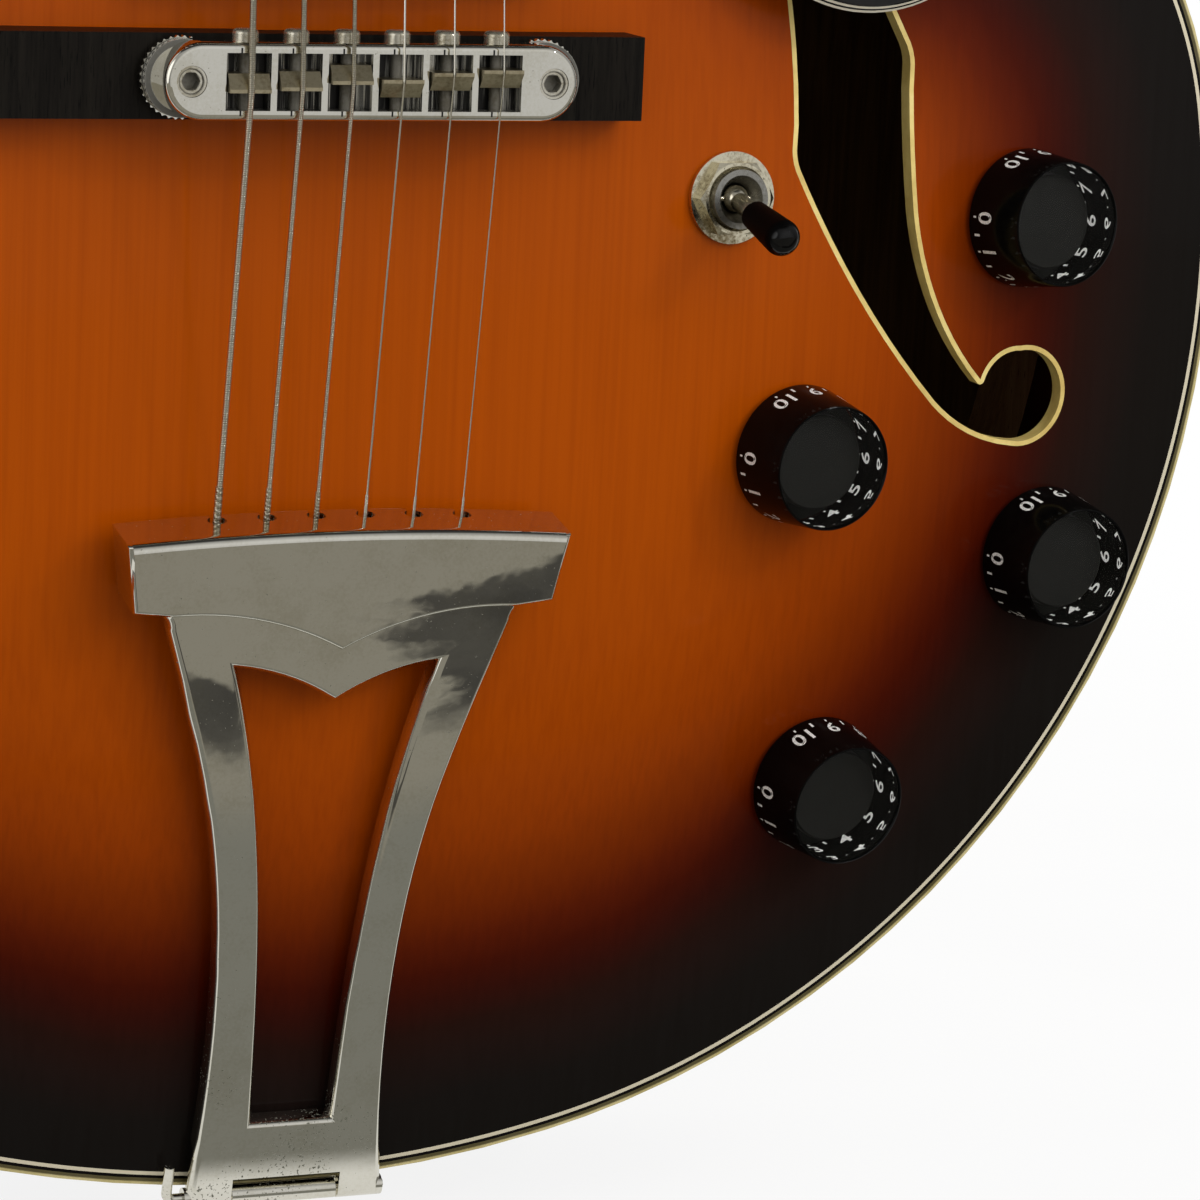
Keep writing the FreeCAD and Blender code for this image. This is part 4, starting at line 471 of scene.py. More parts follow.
def plainMetal(look):
    def recipe(flow):
        spot = flow.spot()
        x, _, z = spot.xyz()
        cloud = spot.noise(0.09, 4.0, 0.6) * 0.6 + spot.noise(1.4, 3.0, 0.6) * 0.4
        tarnish = cloud.span(0.42, 0.68)
        patch = (spot.noise(0.07, 2.0) - x * 0.003).span(0.42, 0.62)
        damp = z.span(speckLook["dampTop"], speckLook["dampFoot"]) * patch * speckLook["dampShare"]
        pits = (spot.noise(1.8, 2.0, 0.5) + damp).span(look["specks"], look["specks"] + 0.04)  # more near the tail
        colour = tarnish.tint(rgb(*look["bright"]), rgb(*look["dull"]))
        colour = (pits * 0.85).tint(colour, rgb(*speckLook["colour"]))
        ripple = flow.bump(spot.noise(0.12, 2.0) + pits * -0.3, look.get("wave", 0.05), 0.0006)
        specksAndPaintedDark = pits * 0.7
        # the look's mask paints darkening: painted shade in the bridge's recesses and a painted reflection band on
        # the thumbwheels; it darkens the colour and dulls the metal
        if "grime" in look:
            paintedDarkening = look["grime"](flow, spot)
            colour = paintedDarkening.tint(colour, rgb(*speckLook["paintedDarkening"]))
            specksAndPaintedDark = specksAndPaintedDark.most(paintedDarkening * 0.85)
        return flow.surface(colour=colour, metal=1 - specksAndPaintedDark, normal=ripple,
                            rough=look["rough"] + tarnish * look["haze"] + specksAndPaintedDark * 0.5)
    return recipe


blackTones = {"stretch": (1.0, 1.0, 0.2), "noise": (0.7, 5.0, 0.7),
              "tones": [(0.3, (12, 11, 11)), (0.8, (26, 24, 23))], "rough": (0.22, 0.12), "plain": {"specular": 0.3}}
scaleTones = {"noise": (1.8, 4.0, 0.6), "tones": [(0.25, (150, 148, 142)), (0.5, (226, 225, 220))],
              "rough": (0.2, 0.4)}
mottledLooks = {
    "yellowedCream": {
        "noise": (0.12, 4.0, 0.6), "tones": [(0.3, (196, 168, 96)), (0.55, (222, 198, 122)), (0.75, (234, 214, 146))],
        "rough": (0.2, 0.22), "plain": {"specular": 0.3}},
    "bone": {
        "stretch": (0.2, 1.0, 1.0), "noise": (0.8, 4.0, 0.6),
        "tones": [(0.3, (214, 202, 170)), (0.7, (238, 231, 208))], "rough": (0.2, 0.3), "plain": {"specular": 0.4}},
    "pearl": {
        "stretch": (1.0, 1.0, 0.6), "noise": (0.14, 3.0, 0.5),
        "tones": [(0.25, (158, 172, 168)), (0.42, (228, 226, 214)), (0.55, (206, 190, 196)), (0.72, (190, 208, 196)),
                  (0.9, (236, 232, 222))],
        "rough": (0.15, 0.12), "plain": {"specular": 0.6, "coat": 0.3, "coatRough": 0.05}},
    "blackPlastic": blackTones,
    "knobBlack": blackTones,
    "blackLacquer": {
        "noise": (0.06, 4.0, 0.6), "tones": [(0.3, (9, 8, 8)), (0.8, (19, 16, 15))], "rough": (0.12, 0.08),
        "plain": {"specular": 0.3, "coat": 0.3, "coatRough": 0.04}},
    "coilBlack": {
        "stretch": (0.05, 1.0, 0.05), "noise": (9.0, 1.0), "tones": [(0.35, (14, 13, 13)), (0.7, (34, 31, 29))],
        "rough": (0.2, 0.4), "plain": {"specular": 0.2}, "relief": (0.4, 0.0002)},
    "smokedPlastic": {
        "noise": (0.4, 4.0, 0.6), "tones": [(0.3, (3, 3, 3)), (0.8, (9, 8, 7))], "rough": (0.12, 0.1),
        "plain": {"specular": 0.08, "alpha": 0.985}},
    "clearPlastic": {
        "noise": (1.2, 5.0, 0.7), "tones": [(0.3, (20, 19, 18)), (0.8, (44, 42, 38))], "rough": (0.12, 0.05),
        "plain": {"specular": 0.35}, "veil": (0.1, 0.06)},
    "mattCore": {
        "noise": (1.6, 5.0, 0.7), "tones": [(0.3, (22, 22, 20)), (0.8, (40, 40, 37))], "rough": (0.2, 0.55),
        "plain": {"specular": 0.2}, "relief": (0.3, 0.0003)},
    "scaleWhite": {**scaleTones, "plain": {"specular": 0.2, "glow": 0.0}},
    "innerScale": {**scaleTones, "plain": {"specular": 0.2, "glow": 0.6}},  # the inner figures glow: painted light, standing in for light through the clear plastic
}


def mottled(look):
    # one soft cloud gives a finish its colour, gloss and fine relief
    def recipe(flow):
        spot = flow.spot()
        if "stretch" in look:
            spot = spot.stretch(*look["stretch"])
        cloud = spot.noise(*look["noise"])
        gain, base = look["rough"]
        sockets = {"colour": cloud.ramp(tones(look["tones"])), "rough": cloud * gain + base, **look["plain"]}
        if "relief" in look:
            sockets["normal"] = flow.bump(cloud, *look["relief"])
        if "veil" in look:
            sockets["alpha"] = cloud * look["veil"][0] + look["veil"][1]
        if "glow" in sockets:
            sockets["glowColour"] = sockets["colour"]
        return flow.surface(**sockets)
    return recipe


creamLook = {
    "tones": [(0.3, (172, 158, 104)), (0.55, (196, 182, 130)), (0.75, (208, 196, 150))],
    "stain": (52, 45, 18),
    "stainFrom": (0.45, 0.85),
    "stainShare": 0.9,
}


def edgeCream(flow):
    # the body's binding, stained dark next to the wood
    cloud = flow.spot().noise(0.12, 4.0, 0.6)
    stain = edgeDistance(flow).span(*creamLook["stainFrom"]) * creamLook["stainShare"]
    colour = stain.tint(cloud.ramp(tones(creamLook["tones"])), rgb(*creamLook["stain"]))
    return flow.surface(colour=colour, rough=cloud * 0.2 + 0.22, specular=0.3)


def centreOf(name):
    spots = [v.co for v in nodes[name].data.vertices]
    return sum(spots, Vector()) / len(spots)


def tipBlack(flow):
    # matt on its sides from fingers, still glossy on the domed end
    leverWay = (centreOf("toggle_tip") - centreOf("toggle_lever")).normalized()
    scuff = flow.spot().noise(0.9, 4.0, 0.6)
    colour = scuff.ramp(tones([(0.3, (2, 2, 2)), (0.8, (7, 6, 6))]))
    dome = flow.surface(colour=colour, rough=scuff * 0.04 + 0.03, specular=0.3)
    side = flow.surface(colour=colour, rough=scuff * 0.1 + 0.5, specular=0.03)
    return flow.facing(*leverWay).span(0.45, 0.7).mixed(side, dome)


guardLook = {"black": [(0.3, (10, 9, 9)), (0.8, (22, 20, 19))], "white": (216, 210, 192),
             "plies": ((0.35, 0.8), (1.15, 1.6))}


def guardPlies(flow):
    # the guard's bevelled edge shows its white and black layers
    mesh = nodes["pickguard"].data
    normal = max((p for p in mesh.polygons if p.normal.y < -0.9), key=lambda p: p.area).normal
    top = max(v.co.dot(normal) for v in mesh.vertices) * 1000
    spot = flow.spot()
    depth = top - spot.along(*normal)
    scuff = spot.stretch(1.0, 1.0, 0.2).noise(0.7, 5.0, 0.7)
    first, second = ((depth > low) * (depth < high) for low, high in guardLook["plies"])
    colour = first.most(second).tint(scuff.ramp(tones(guardLook["black"])), rgb(*guardLook["white"]))
    return flow.surface(colour=colour, rough=scuff * 0.2 + 0.1, specular=0.3)


wireLook = {"plain": (230, 225, 210), "wound": (192, 178, 146), "pitch": 0.36}


def stringSteel(flow):
    x, _, z = flow.spot().xyz()
    wound = x < 0.0  # the three low strings are wrapped with wire
    turns = flow.maths("SINE", z * (2 * math.pi / wireLook["pitch"]))
    colour = (wound * (turns * 0.25 + 0.4)).tint(rgb(*wireLook["plain"]), rgb(*wireLook["wound"]))
    return flow.surface(colour=colour, metal=1.0, rough=wound * 0.12 + 0.2,
                        normal=flow.bump(turns * wound, 0.6, 0.00012))


recipes = {recipe.__name__: recipe for recipe in
           (burstTop, burstBack, burstRim, edgeCream, tipBlack, guardPlies, stringSteel)}
for maker, looks in ((grainWood, woodLooks), (plainMetal, metalLooks), (mottled, mottledLooks)):
    recipes.update({name: maker(look) for name, look in looks.items()})
finishes = {name: newFinish(name, recipe) for name, recipe in recipes.items()}
knobBodies = ["knob_neck_volume", "knob_bridge_volume", "knob_neck_tone", "knob_bridge_tone"]
finishNodes = {
    "burstTop": ["top_plate"],
    "burstBack": ["back_plate"],
    "burstRim": ["sides"],
    "innerWood": ["linings_and_blocks", "tone_bars"],
    "edgeCream": ["bindings"],
    "yellowedCream": ["f_hole_bindings"],
    "neckWood": ["neck"],
    "rosewood": ["fingerboard"],
    "pearl": ["position_markers"],
    "bone": ["nut"],
    "blackPlastic": ["truss_rod_cover", "pickup_rings"],
    "guardPlies": ["pickguard"],
    "tipBlack": ["toggle_tip"],
    "blackLacquer": ["headstock_overlay"],
    "chrome": ["pickguard_bracket", "tailpiece_hanger", "strap_buttons", "pickup_covers", "tuner_housings",
               "tailpiece"]
              + [f"tuner_{part}_{n}" for part in ("key", "post") for n in range(1, stringCount + 1)],
    "ebony": ["bridge_base"],
    "postNickel": ["bridge_posts"],
    "bridgeChrome": ["bridge_body"],
    "screwNickel": ["saddle_screws"],
    "wheelChrome": ["thumbwheel_bass", "thumbwheel_treble"],
    "saddleBrass": [f"saddle_{n}" for n in range(1, stringCount + 1)],
    "grimyNickel": ["panel_nuts"],
    "wornNickel": ["frets", "output_jack", "mounting_screws", "toggle_lever"],
    "stringSteel": ["strings"],
    "coilBlack": ["pickup_coils"],
    "steel": ["truss_rod", "control_pots", "switch_body"],
    "knobBlack": knobBodies,
}
for finishName, names in finishNodes.items():
    for name in names:
        nodes[name].data.materials.clear()
        nodes[name].data.materials.append(finishes[finishName])
print("finishes on", sum(len(names) for names in finishNodes.values()), "nodes")


def show(name, data):
    made = bpy.data.objects.new(name, data)
    bpy.context.scene.collection.objects.link(made)
    return made


def asMesh(name, work):
    mesh = bpy.data.meshes.new(name)
    work.to_mesh(mesh)
    work.free()
    return mesh


def settled(holder):
    # the mesh that a holder's modifiers or text come to; the holder itself goes
    bpy.context.view_layer.update()
    made = bpy.data.meshes.new_from_object(holder.evaluated_get(bpy.context.evaluated_depsgraph_get()))
    bpy.data.objects.remove(holder)
    return made


def addPiece(name, mesh, finish, body, hides=()):
    # a finished piece: its place is in its mesh, and it rides on a body
    mesh.materials.clear()
    mesh.materials.append(finishes[finish])
    piece = show(name, mesh)
    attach(piece, body)
    if hides:
        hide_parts(*hides)


def nodeCopy(name):
    # a node's loose triangles, merged
    work = bmesh.new()
    work.from_mesh(nodes[name].data)
    bmesh.ops.remove_doubles(work, verts=work.verts, dist=1e-6)
    return work


def softened(name, work, hollow, crest):
    # smooth shading across each edge that bends between these two angles, in degrees
    for face in work.faces:
        face.smooth = True
    for edge in work.edges:
        edge.smooth = math.radians(hollow) < edge.calc_face_angle_signed(0.0) < math.radians(crest)
    mesh = asMesh(name, work)
    if "custom_normal" in mesh.attributes:
        mesh.attributes.remove(mesh.attributes["custom_normal"])
    return mesh


plateLook = {"flat": 0.4, "hollow": -12.0, "crest": 62.0}


def polished(name, look):
    # a copy of a node's mesh whose small bevels are shaded as rounded edges
    work = nodeCopy(name)
    bmesh.ops.dissolve_limit(work, angle_limit=math.radians(look["flat"]), verts=work.verts, edges=work.edges)
    holder = show(name, softened(name, work, look["hollow"], look["crest"]))
    weigh = holder.modifiers.new("weigh", "WEIGHTED_NORMAL")
    weigh.weight = 100
    weigh.keep_sharp = True
    return settled(holder)


addPiece("tailpiece_plate", polished("tailpiece", plateLook), "chrome", "tailpiece", ["tailpiece"])
rimLook = {"half": 46.2, "reach": 45.2, "bow": 1.8, "round": 2.2, "proud": 0.02, "wall": 0.3, "barDepth": 10.0,
           "steps": 60, "bends": 10}


def rollRim(look):
    # the rounded front rim of the tailpiece bar, on the same arc as the bar's front
    hinge = Vector(jointOf["tailpiece"]["pos_m"]) * 1000
    plate = nodes["tailpiece"].data
    out = max(plate.polygons, key=lambda face: face.area if face.normal.y < -0.9 else 0.0).normal.copy()
    side = Vector((1.0, 0.0, 0.0))
    ahead = side.cross(out)
    ahead *= -1 if ahead.z < 0 else 1
    spots = [v.co * 1000 - hinge for v in plate.vertices]
    frontMost = max(p.dot(ahead) for p in spots)
    top = max(p.dot(out) for p in spots if p.dot(ahead) > frontMost - look["barDepth"])
    radius = (look["half"] ** 2 + look["bow"] ** 2) / (2 * look["bow"])
    sweep = math.asin(look["reach"] / radius)
    bends = [math.pi / 2 * i / look["bends"] for i in range(look["bends"] + 1)]
    section = [(a, look["round"] + look["proud"]) for a in bends]
    section += [(a, look["round"] - look["wall"]) for a in reversed(bends)]
    base = hinge + ahead * (frontMost - radius) + out * (top - look["round"])
    work = bmesh.new()
    rings = []
    for step in range(look["steps"] + 1):
        turn = sweep * (2 * step / look["steps"] - 1)
        heading = side * math.sin(turn) + ahead * math.cos(turn)
        spine = base + heading * (radius - look["round"])
        rings.append([work.verts.new((spine + (heading * math.cos(a) + out * math.sin(a)) * r) / 1000)
                      for a, r in section])
    count = len(section)
    for first, second in zip(rings, rings[1:]):
        for i in range(count):
            j = (i + 1) % count
            work.faces.new([first[i], first[j], second[j], second[i]])
    work.faces.new(rings[0])
    work.faces.new(rings[-1])
    bmesh.ops.recalc_face_normals(work, faces=work.faces)
    mesh = asMesh("rim", work)
    for face in mesh.polygons:
        face.use_smooth = True
    mesh.set_sharp_from_angle(angle=math.radians(50))
    addPiece("tailpiece_rim", mesh, "chrome", "tailpiece")


rollRim(rimLook)
print("tailpiece polished")


def revolved(name, profile, steps):
    # a closed ring of (radius, height) points in millimetres turned about Z; points on the axis close the ends
    work = bmesh.new()
    rings = []
    for radius, height in profile:
        turns = [2 * math.pi * i / steps for i in range(steps)] if radius else [0.0]
        rings.append([work.verts.new((radius * math.cos(a) / 1000, radius * math.sin(a) / 1000, height / 1000))
                      for a in turns])
    for low, high in zip(rings, rings[1:] + rings[:1]):
        if len(low) + len(high) == 2:
            continue
        for i in range(steps):
            j = (i + 1) % steps
            corners = [low[i % len(low)], low[j % len(low)], high[j % len(high)], high[i % len(high)]]
            work.faces.new(list(dict.fromkeys(corners)))
    bmesh.ops.recalc_face_normals(work, faces=work.faces)
    mesh = asMesh(name, work)
    mesh.set_sharp_from_angle(angle=math.radians(40))
    for face in mesh.polygons:
        face.use_smooth = True
    return mesh


def lettering(text, height):
    # flat figures as points and faces, centred, with this cap height in millimetres
    curve = bpy.data.curves.new("figures", "FONT")
    curve.body = text
    curve.align_x = "CENTER"
    curve.offset = 0.012
    curve.resolution_u = 3
    mesh = settled(show("figures", curve))
    bpy.data.curves.remove(curve)
    tall = max(v.co.y for v in mesh.vertices)
    middle = (max(v.co.x for v in mesh.vertices) + min(v.co.x for v in mesh.vertices)) / 2
    points = [((v.co.x - middle) * height / tall, v.co.y * height / tall) for v in mesh.vertices]
    polygons = [list(p.vertices) for p in mesh.polygons]
    bpy.data.meshes.remove(mesh)
    return points, polygons


knobLook = {
    "gap": 1.4,
    "baseRadius": 14.7,
    "topRadius": 13.1,
    "height": 14.8,
    "wall": 0.55,
    "coreRadius": 10.2,
    "coreHeight": 8.8,
    "figures": 11,
    "figureStep": 30.2,
    "figureStart": 177.3,
    "figureHeight": 3.9,
    "print": 0.03,  # how far the outer scale stands off the skirt
    "behind": 0.04,  # how far the inner scale lies behind its wall
    # heights of the figures and ticks on the skirt, then through the top: lower edge and stretch
    "outer": {"figure": [(2.9, 1.0)], "dot": [(1.3, 1.0)], "tick": [(1.5, 1.0)]},
    "inner": {"figure": [(2.9 + 3.9, -1.0), (10.6, 0.62)], "dot": [(1.3, 1.0), (13.3, 0.6)],
              "tick": [(1.5, 1.0), (11.8, 0.8)]},
    "dot": (0.2, 0.8),
    "tick": (0.25, 1.6),
    "steps": 96,
}


def scaleMarks(look, face):
    # the white scale: figures and ticks on the skirt's outside, or the same seen through the clear top
    out = look["print"] if face == "outer" else -look["wall"] - look["behind"]
    taper = (look["topRadius"] - look["baseRadius"]) / look["height"]
    vertices = []
    faces = []

    def add(kind, angle, points, polygons):
        for low, rise in look[face][kind]:
            start = len(vertices)
            for u, v in points:
                height = low + rise * v
                radius = look["baseRadius"] + taper * height + out
                a = math.radians(angle) + u / radius
                vertices.append((radius * math.cos(a) / 1000, radius * math.sin(a) / 1000, height / 1000))
            faces.extend([[start + i for i in polygon] for polygon in polygons])

    def bar(kind, angle):
        half, tall = look[kind]
        add(kind, angle, [(-half, 0.0), (half, 0.0), (half, tall), (-half, tall)], [[0, 1, 2, 3]])

    for index in range(look["figures"]):
        angle = look["figureStart"] + index * look["figureStep"]
        points, polygons = lettering(str(index), look["figureHeight"])
        add("figure", angle, points, polygons if out > 0 else [p[::-1] for p in polygons])
        bar("dot", angle)
        if index < look["figures"] - 1:
            bar("tick", angle + look["figureStep"] / 2)
    mesh = bpy.data.meshes.new("scaleMarks")
    mesh.from_pydata(vertices, [], faces)
    return mesh


def makeKnobs(look):
    wall, base, top, high = look["wall"], look["baseRadius"], look["topRadius"], look["height"]
    core, coreHigh = look["coreRadius"], look["coreHeight"]
    profiles = {
        "skirt": [(base, 0.0), (base, 0.3), (top + 0.03, high - 0.35), (top - 0.08, high - 0.08), (top - 0.25, high),
                  (top - 0.4, high - 0.1), (top - wall, high - 0.5), (base - wall, 0.5), (base - wall, 0.0)],
        "core": [(base - wall - 0.2, 0.2), (base - wall - 0.2, 0.8), (core + 0.5, 0.8), (core, 1.6),
                 (core - 0.2, coreHigh - 0.4), (core - 0.6, coreHigh), (0.0, coreHigh - 0.2), (0.0, 0.2)],
        "top": [(top - wall - 0.02, high - 0.6), (top - wall - 0.02, high - 0.25), (top - wall - 0.3, high - 0.08),
                (0.0, high - 0.2), (0.0, high - 0.6)],
    }
    knobFinishes = {"skirt": "smokedPlastic", "core": "mattCore", "top": "clearPlastic", "scale": "scaleWhite",
                    "innerScale": "innerScale"}
    for body in knobBodies:
        out = -Vector(jointOf[body]["axis"]).normalized()
        across = (Vector((1.0, 0.0, 0.0)) - out * out.x).normalized()
        turn = Matrix((across, out.cross(across), out)).transposed().to_4x4()
        place = Matrix.Translation(Vector(jointOf[body]["pos_m"]) + out * look["gap"] / 1000) @ turn
        meshes = {part: revolved(part, profile, look["steps"]) for part, profile in profiles.items()}
        meshes["scale"] = scaleMarks(look, "outer")
        meshes["innerScale"] = scaleMarks(look, "inner")
        for part, mesh in meshes.items():
            mesh.transform(place)
            hides = [body] if part == "skirt" else ()
            addPiece(f"{body}_{part}", mesh, knobFinishes[part], body, hides)


makeKnobs(knobLook)
print("knobs made:", len(knobBodies))


def newTree(name, inputs):
    # an empty geometry tree with named inputs
    tree = bpy.data.node_groups.new(name, "GeometryNodeTree")
    tree.interface.new_socket("Geometry", in_out="INPUT", socket_type="NodeSocketGeometry")
    tree.interface.new_socket("Geometry", in_out="OUTPUT", socket_type="NodeSocketGeometry")
    identifiers = {}
    for label, kind in inputs.items():
        identifiers[label] = tree.interface.new_socket(
            label, in_out="INPUT", socket_type="NodeSocket" + kind).identifier
    flow = Flow(tree)
    entry = flow.node("NodeGroupInput").socket.node
    return flow, {label: Flow(tree, entry.outputs[label]) for label in inputs}, identifiers


def endTree(flow, geometry, finish):
    real = flow.node("GeometryNodeRealizeInstances", None, {"Geometry": geometry})
    done = flow.node("GeometryNodeSetMaterial", None, {"Geometry": real, "Material": finishes[finish]})
    flow.node("NodeGroupOutput", None, {"Geometry": done})


def grow(name, flow, identifiers, values):
    # runs the tree once with these values and keeps the result as a plain mesh
    holder = show(name, bpy.data.meshes.new(name))
    modifier = holder.modifiers.new("tree", "NODES")
    modifier.node_group = flow.tree
    for label, value in values.items():
        modifier[identifiers[label]] = value
    return settled(holder)


def coilTree(finish):
    # wire wound in a spiral: string ends and the turns on the tuner posts
    flow, given, identifiers = newTree("woundWire", {
        "turns": "Float", "startRadius": "Float", "endRadius": "Float", "length": "Float", "wire": "Float"})
    path = flow.node("GeometryNodeCurveSpiral", None, {
        "Resolution": 14, "Rotations": given["turns"], "Start Radius": given["startRadius"],
        "End Radius": given["endRadius"], "Height": given["length"]})
    section = flow.node("GeometryNodeCurvePrimitiveCircle", None, {"Resolution": 7, "Radius": given["wire"]})
    coil = flow.node("GeometryNodeCurveToMesh", None, {"Curve": path, "Profile Curve": section, "Fill Caps": True})
    endTree(flow, coil, finish)
    return flow, identifiers


def axisPlace(start, along):
    return Matrix.Translation(start) @ Vector(along).to_track_quat("Z", "Y").to_matrix().to_4x4()


stringLook = {
    "radii": (0.62, 0.5, 0.4, 0.23, 0.19, 0.16),
    "pitch": 10.28,
    "tail": (-68.8, 143.9),  # y and z of the strings' ends, and where they cross the bridge
    "bridge": (-83.4, 233.97),
    "wrapLength": (8.5, 8.0, 7.0, 6.0, 5.5, 5.0),
    "wrapWire": (0.13, 0.12, 0.11, 0.14, 0.13, 0.12),
    "wrapPitch": 2.2,
    "wrapLift": (0.7, 0.4),
    "wrapStart": 1.0,
    "postRadius": 2.6,
    "postReach": 5.0,
    "postTurns": (3.0, 3.0, 4.0, 4.0, 5.0, 5.0),
    "turnPitch": 2.1,
}


def wrapStrings(look):
    # the twist of each string by its ball end
    flow, identifiers = coilTree("stringSteel")
    for index, radius in enumerate(look["radii"]):
        x = (index - middleString) * look["pitch"]
        low, high = (Vector((x, *look[place])) / 1000 for place in ("tail", "bridge"))
        wire = look["wrapWire"][index]
        length = look["wrapLength"][index]
        first, last = ((radius + wire * lift) / 1000 for lift in look["wrapLift"])
        values = {"turns": length / (look["wrapPitch"] * wire), "startRadius": first, "endRadius": last,
                  "length": length / 1000, "wire": wire / 1000}
        mesh = grow("stringEnd", flow, identifiers, values)
        mesh.transform(axisPlace(low + (high - low).normalized() * look["wrapStart"] / 1000, high - low))
        addPiece(f"string_end_{stringCount - index}", mesh, "stringSteel", "tailpiece")


wrapStrings(stringLook)
print("string ends wrapped")
# each run of the strings: the heights of its ends, two bodies listed for it, and where it leaves one for the other
stringRuns = {
    "strings_speaking": {"low": 228.0, "high": None, "held": ("bridge", "body"), "turn": (240.0, 863.5)},
    "strings_behind": {"low": 195.0, "high": 228.0, "held": ("bridge", "body"), "turn": (228.0, 195.0)},
    "strings_tail": {"low": None, "high": 195.0, "held": ("body", "tailpiece"), "turn": (195.0, 154.0)},
}


def cutStrings(work, height, away=None):
    # a ring round every string at a height, with what lies above (1) or below (-1) it taken away
    bmesh.ops.bisect_plane(work, geom=work.verts[:] + work.edges[:] + work.faces[:], dist=1e-7,
                           plane_co=(0, 0, height / 1000), plane_no=(0, 0, away or 1),
                           clear_outer=away is not None)
    bmesh.ops.holes_fill(work, edges=[edge for edge in work.edges if edge.is_boundary], sides=0)


def holdStrings(runs):
    for name, run in runs.items():
        work = nodeCopy("strings")
        if run["low"]:
            cutStrings(work, run["low"], -1)
        if run["high"]:
            cutStrings(work, run["high"], 1)
        if run["held"][1] == "tailpiece":
            cutStrings(work, run["turn"][1])
        mesh = softened(name, work, -40, 40)
        mesh.materials.clear()
        mesh.materials.append(finishes["stringSteel"])
        piece = show(name, mesh)
        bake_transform(piece)
        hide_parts("strings")


holdStrings(stringRuns)


def windPosts(look):
    # the turns of each string on its tuner post, level with where the string arrives
    flow, identifiers = coilTree("stringSteel")
    wire = [v.co for v in nodes["strings"].data.vertices]
    for index, radius in enumerate(look["radii"]):
        post = f"tuner_post_{stringCount - index}"
        centre = Vector(jointOf[post]["pos_m"])
        axis = Vector(jointOf[post]["axis"]).normalized()
        near = [(p - centre).dot(axis) for p in wire
                if ((p - centre) - axis * (p - centre).dot(axis)).length < look["postReach"] / 1000]
        level = sum(near) / len(near) if near else 0.0
        turns = look["postTurns"][index]
        length = turns * look["turnPitch"] * radius / 1000
        reach = (look["postRadius"] + radius) / 1000
        values = {"turns": turns, "startRadius": reach, "endRadius": reach, "length": length, "wire": radius / 1000}
        mesh = grow("postTurns", flow, identifiers, values)
        mesh.transform(axisPlace(centre + axis * (level - length), axis))
        addPiece(f"post_turns_{stringCount - index}", mesh, "stringSteel", post)


windPosts(stringLook)


def growRows(name, item, rows, pitch, finish):
    # straight rows of the item in one mesh, an item for each string
    flow, given, identifiers = newTree("rowOfItems", {
        "count": "Int", "start": "Vector", "step": "Vector", "item": "Object"})
    line = flow.node("GeometryNodeMeshLine", {"mode": "OFFSET"}, {
        "Count": given["count"], "Start Location": given["start"], "Offset": given["step"]})
    copy = flow.node("GeometryNodeObjectInfo", None, {"Object": given["item"]}, "Geometry")
    endTree(flow, flow.node("GeometryNodeInstanceOnPoints", None, {"Points": line, "Instance": copy}), finish)
    holder = show(name + "Item", item)
    work = bmesh.new()
    for middle, y, z in rows:
        start = (middle - middleString * pitch, y, z)
        values = {"count": stringCount, "start": start, "step": (pitch, 0.0, 0.0), "item": holder}
        mesh = grow(name, flow, identifiers, values)
        work.from_mesh(mesh)
        bpy.data.meshes.remove(mesh)
    bpy.data.objects.remove(holder)
    return asMesh(name, work)


tickLook = {"width": 0.36, "length": 1.0, "thick": 0.03, "reach": 6.05, "shift": -1.5, "sink": 0.005}


def markBridge(look):
    # short dark lines on the bridge's two long edges, one over each saddle
    low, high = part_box("bridge_body")
    middle = (low.z + high.z) / 2
    work = bmesh.new()
    bmesh.ops.create_cube(work, size=1.0)
    bmesh.ops.scale(work, vec=Vector((look["width"], look["thick"], look["length"])) / 1000, verts=work.verts)
    rows = [(look["shift"] / 1000, low.y - look["sink"] / 1000, middle + side * look["reach"] / 1000)
            for side in (-1, 1)]
    mesh = growRows("bridgeTicks", asMesh("tick", work), rows, stringLook["pitch"] / 1000, "blackPlastic")
    addPiece("bridge_ticks", mesh, "blackPlastic", "bridge")


markBridge(tickLook)
poleLook = {"radius": 2.3, "rise": 0.45, "foot": -0.2, "slot": 0.7, "slotDepth": 0.27, "spacing": 10.2, "offset": 9.3,
            "steps": 20}


def makePoles(look):
    # slotted pole screws in a row on each pickup cover
    radius, rise, foot = look["radius"], look["rise"], look["foot"]
    profile = [(radius, foot), (radius, rise * 0.55), (radius * 0.8, rise), (0.0, rise * 1.15), (0.0, foot)]
    head = revolved("poleHead", profile, look["steps"])
    head.transform(Matrix.Rotation(math.radians(90), 4, "X"))
    for v in head.vertices:
        if abs(v.co.x) < look["slot"] / 2000 and v.co.y < 0:
            v.co.y += look["slotDepth"] / 1000
    covers = [v.co for v in nodes["pickup_covers"].data.vertices]
    middle = (min(p.z for p in covers) + max(p.z for p in covers)) / 2
    rows = []
    for side in (1, -1):
        part = [p for p in covers if (p.z - middle) * side > 0]
        centre = (min(p.z for p in part) + max(p.z for p in part)) / 2
        rows.append((0.0, min(p.y for p in part), centre + side * look["offset"] / 1000))
    mesh = growRows("poleScrews", head, rows, look["spacing"] / 1000, "wornNickel")
    addPiece("pole_screws", mesh, "wornNickel", "body")


makePoles(poleLook)
print("post turns, bridge ticks and pole screws made")
photoCamera = {
    "place": (-0.319122, -1.002062, 0.326253),
    "yaw": 21.927,
    "pitch": -11.171,
    "roll": 2.532,
    "lens": 150.824,
    "sensor": 36.0,
    "nearest": 0.05,
}


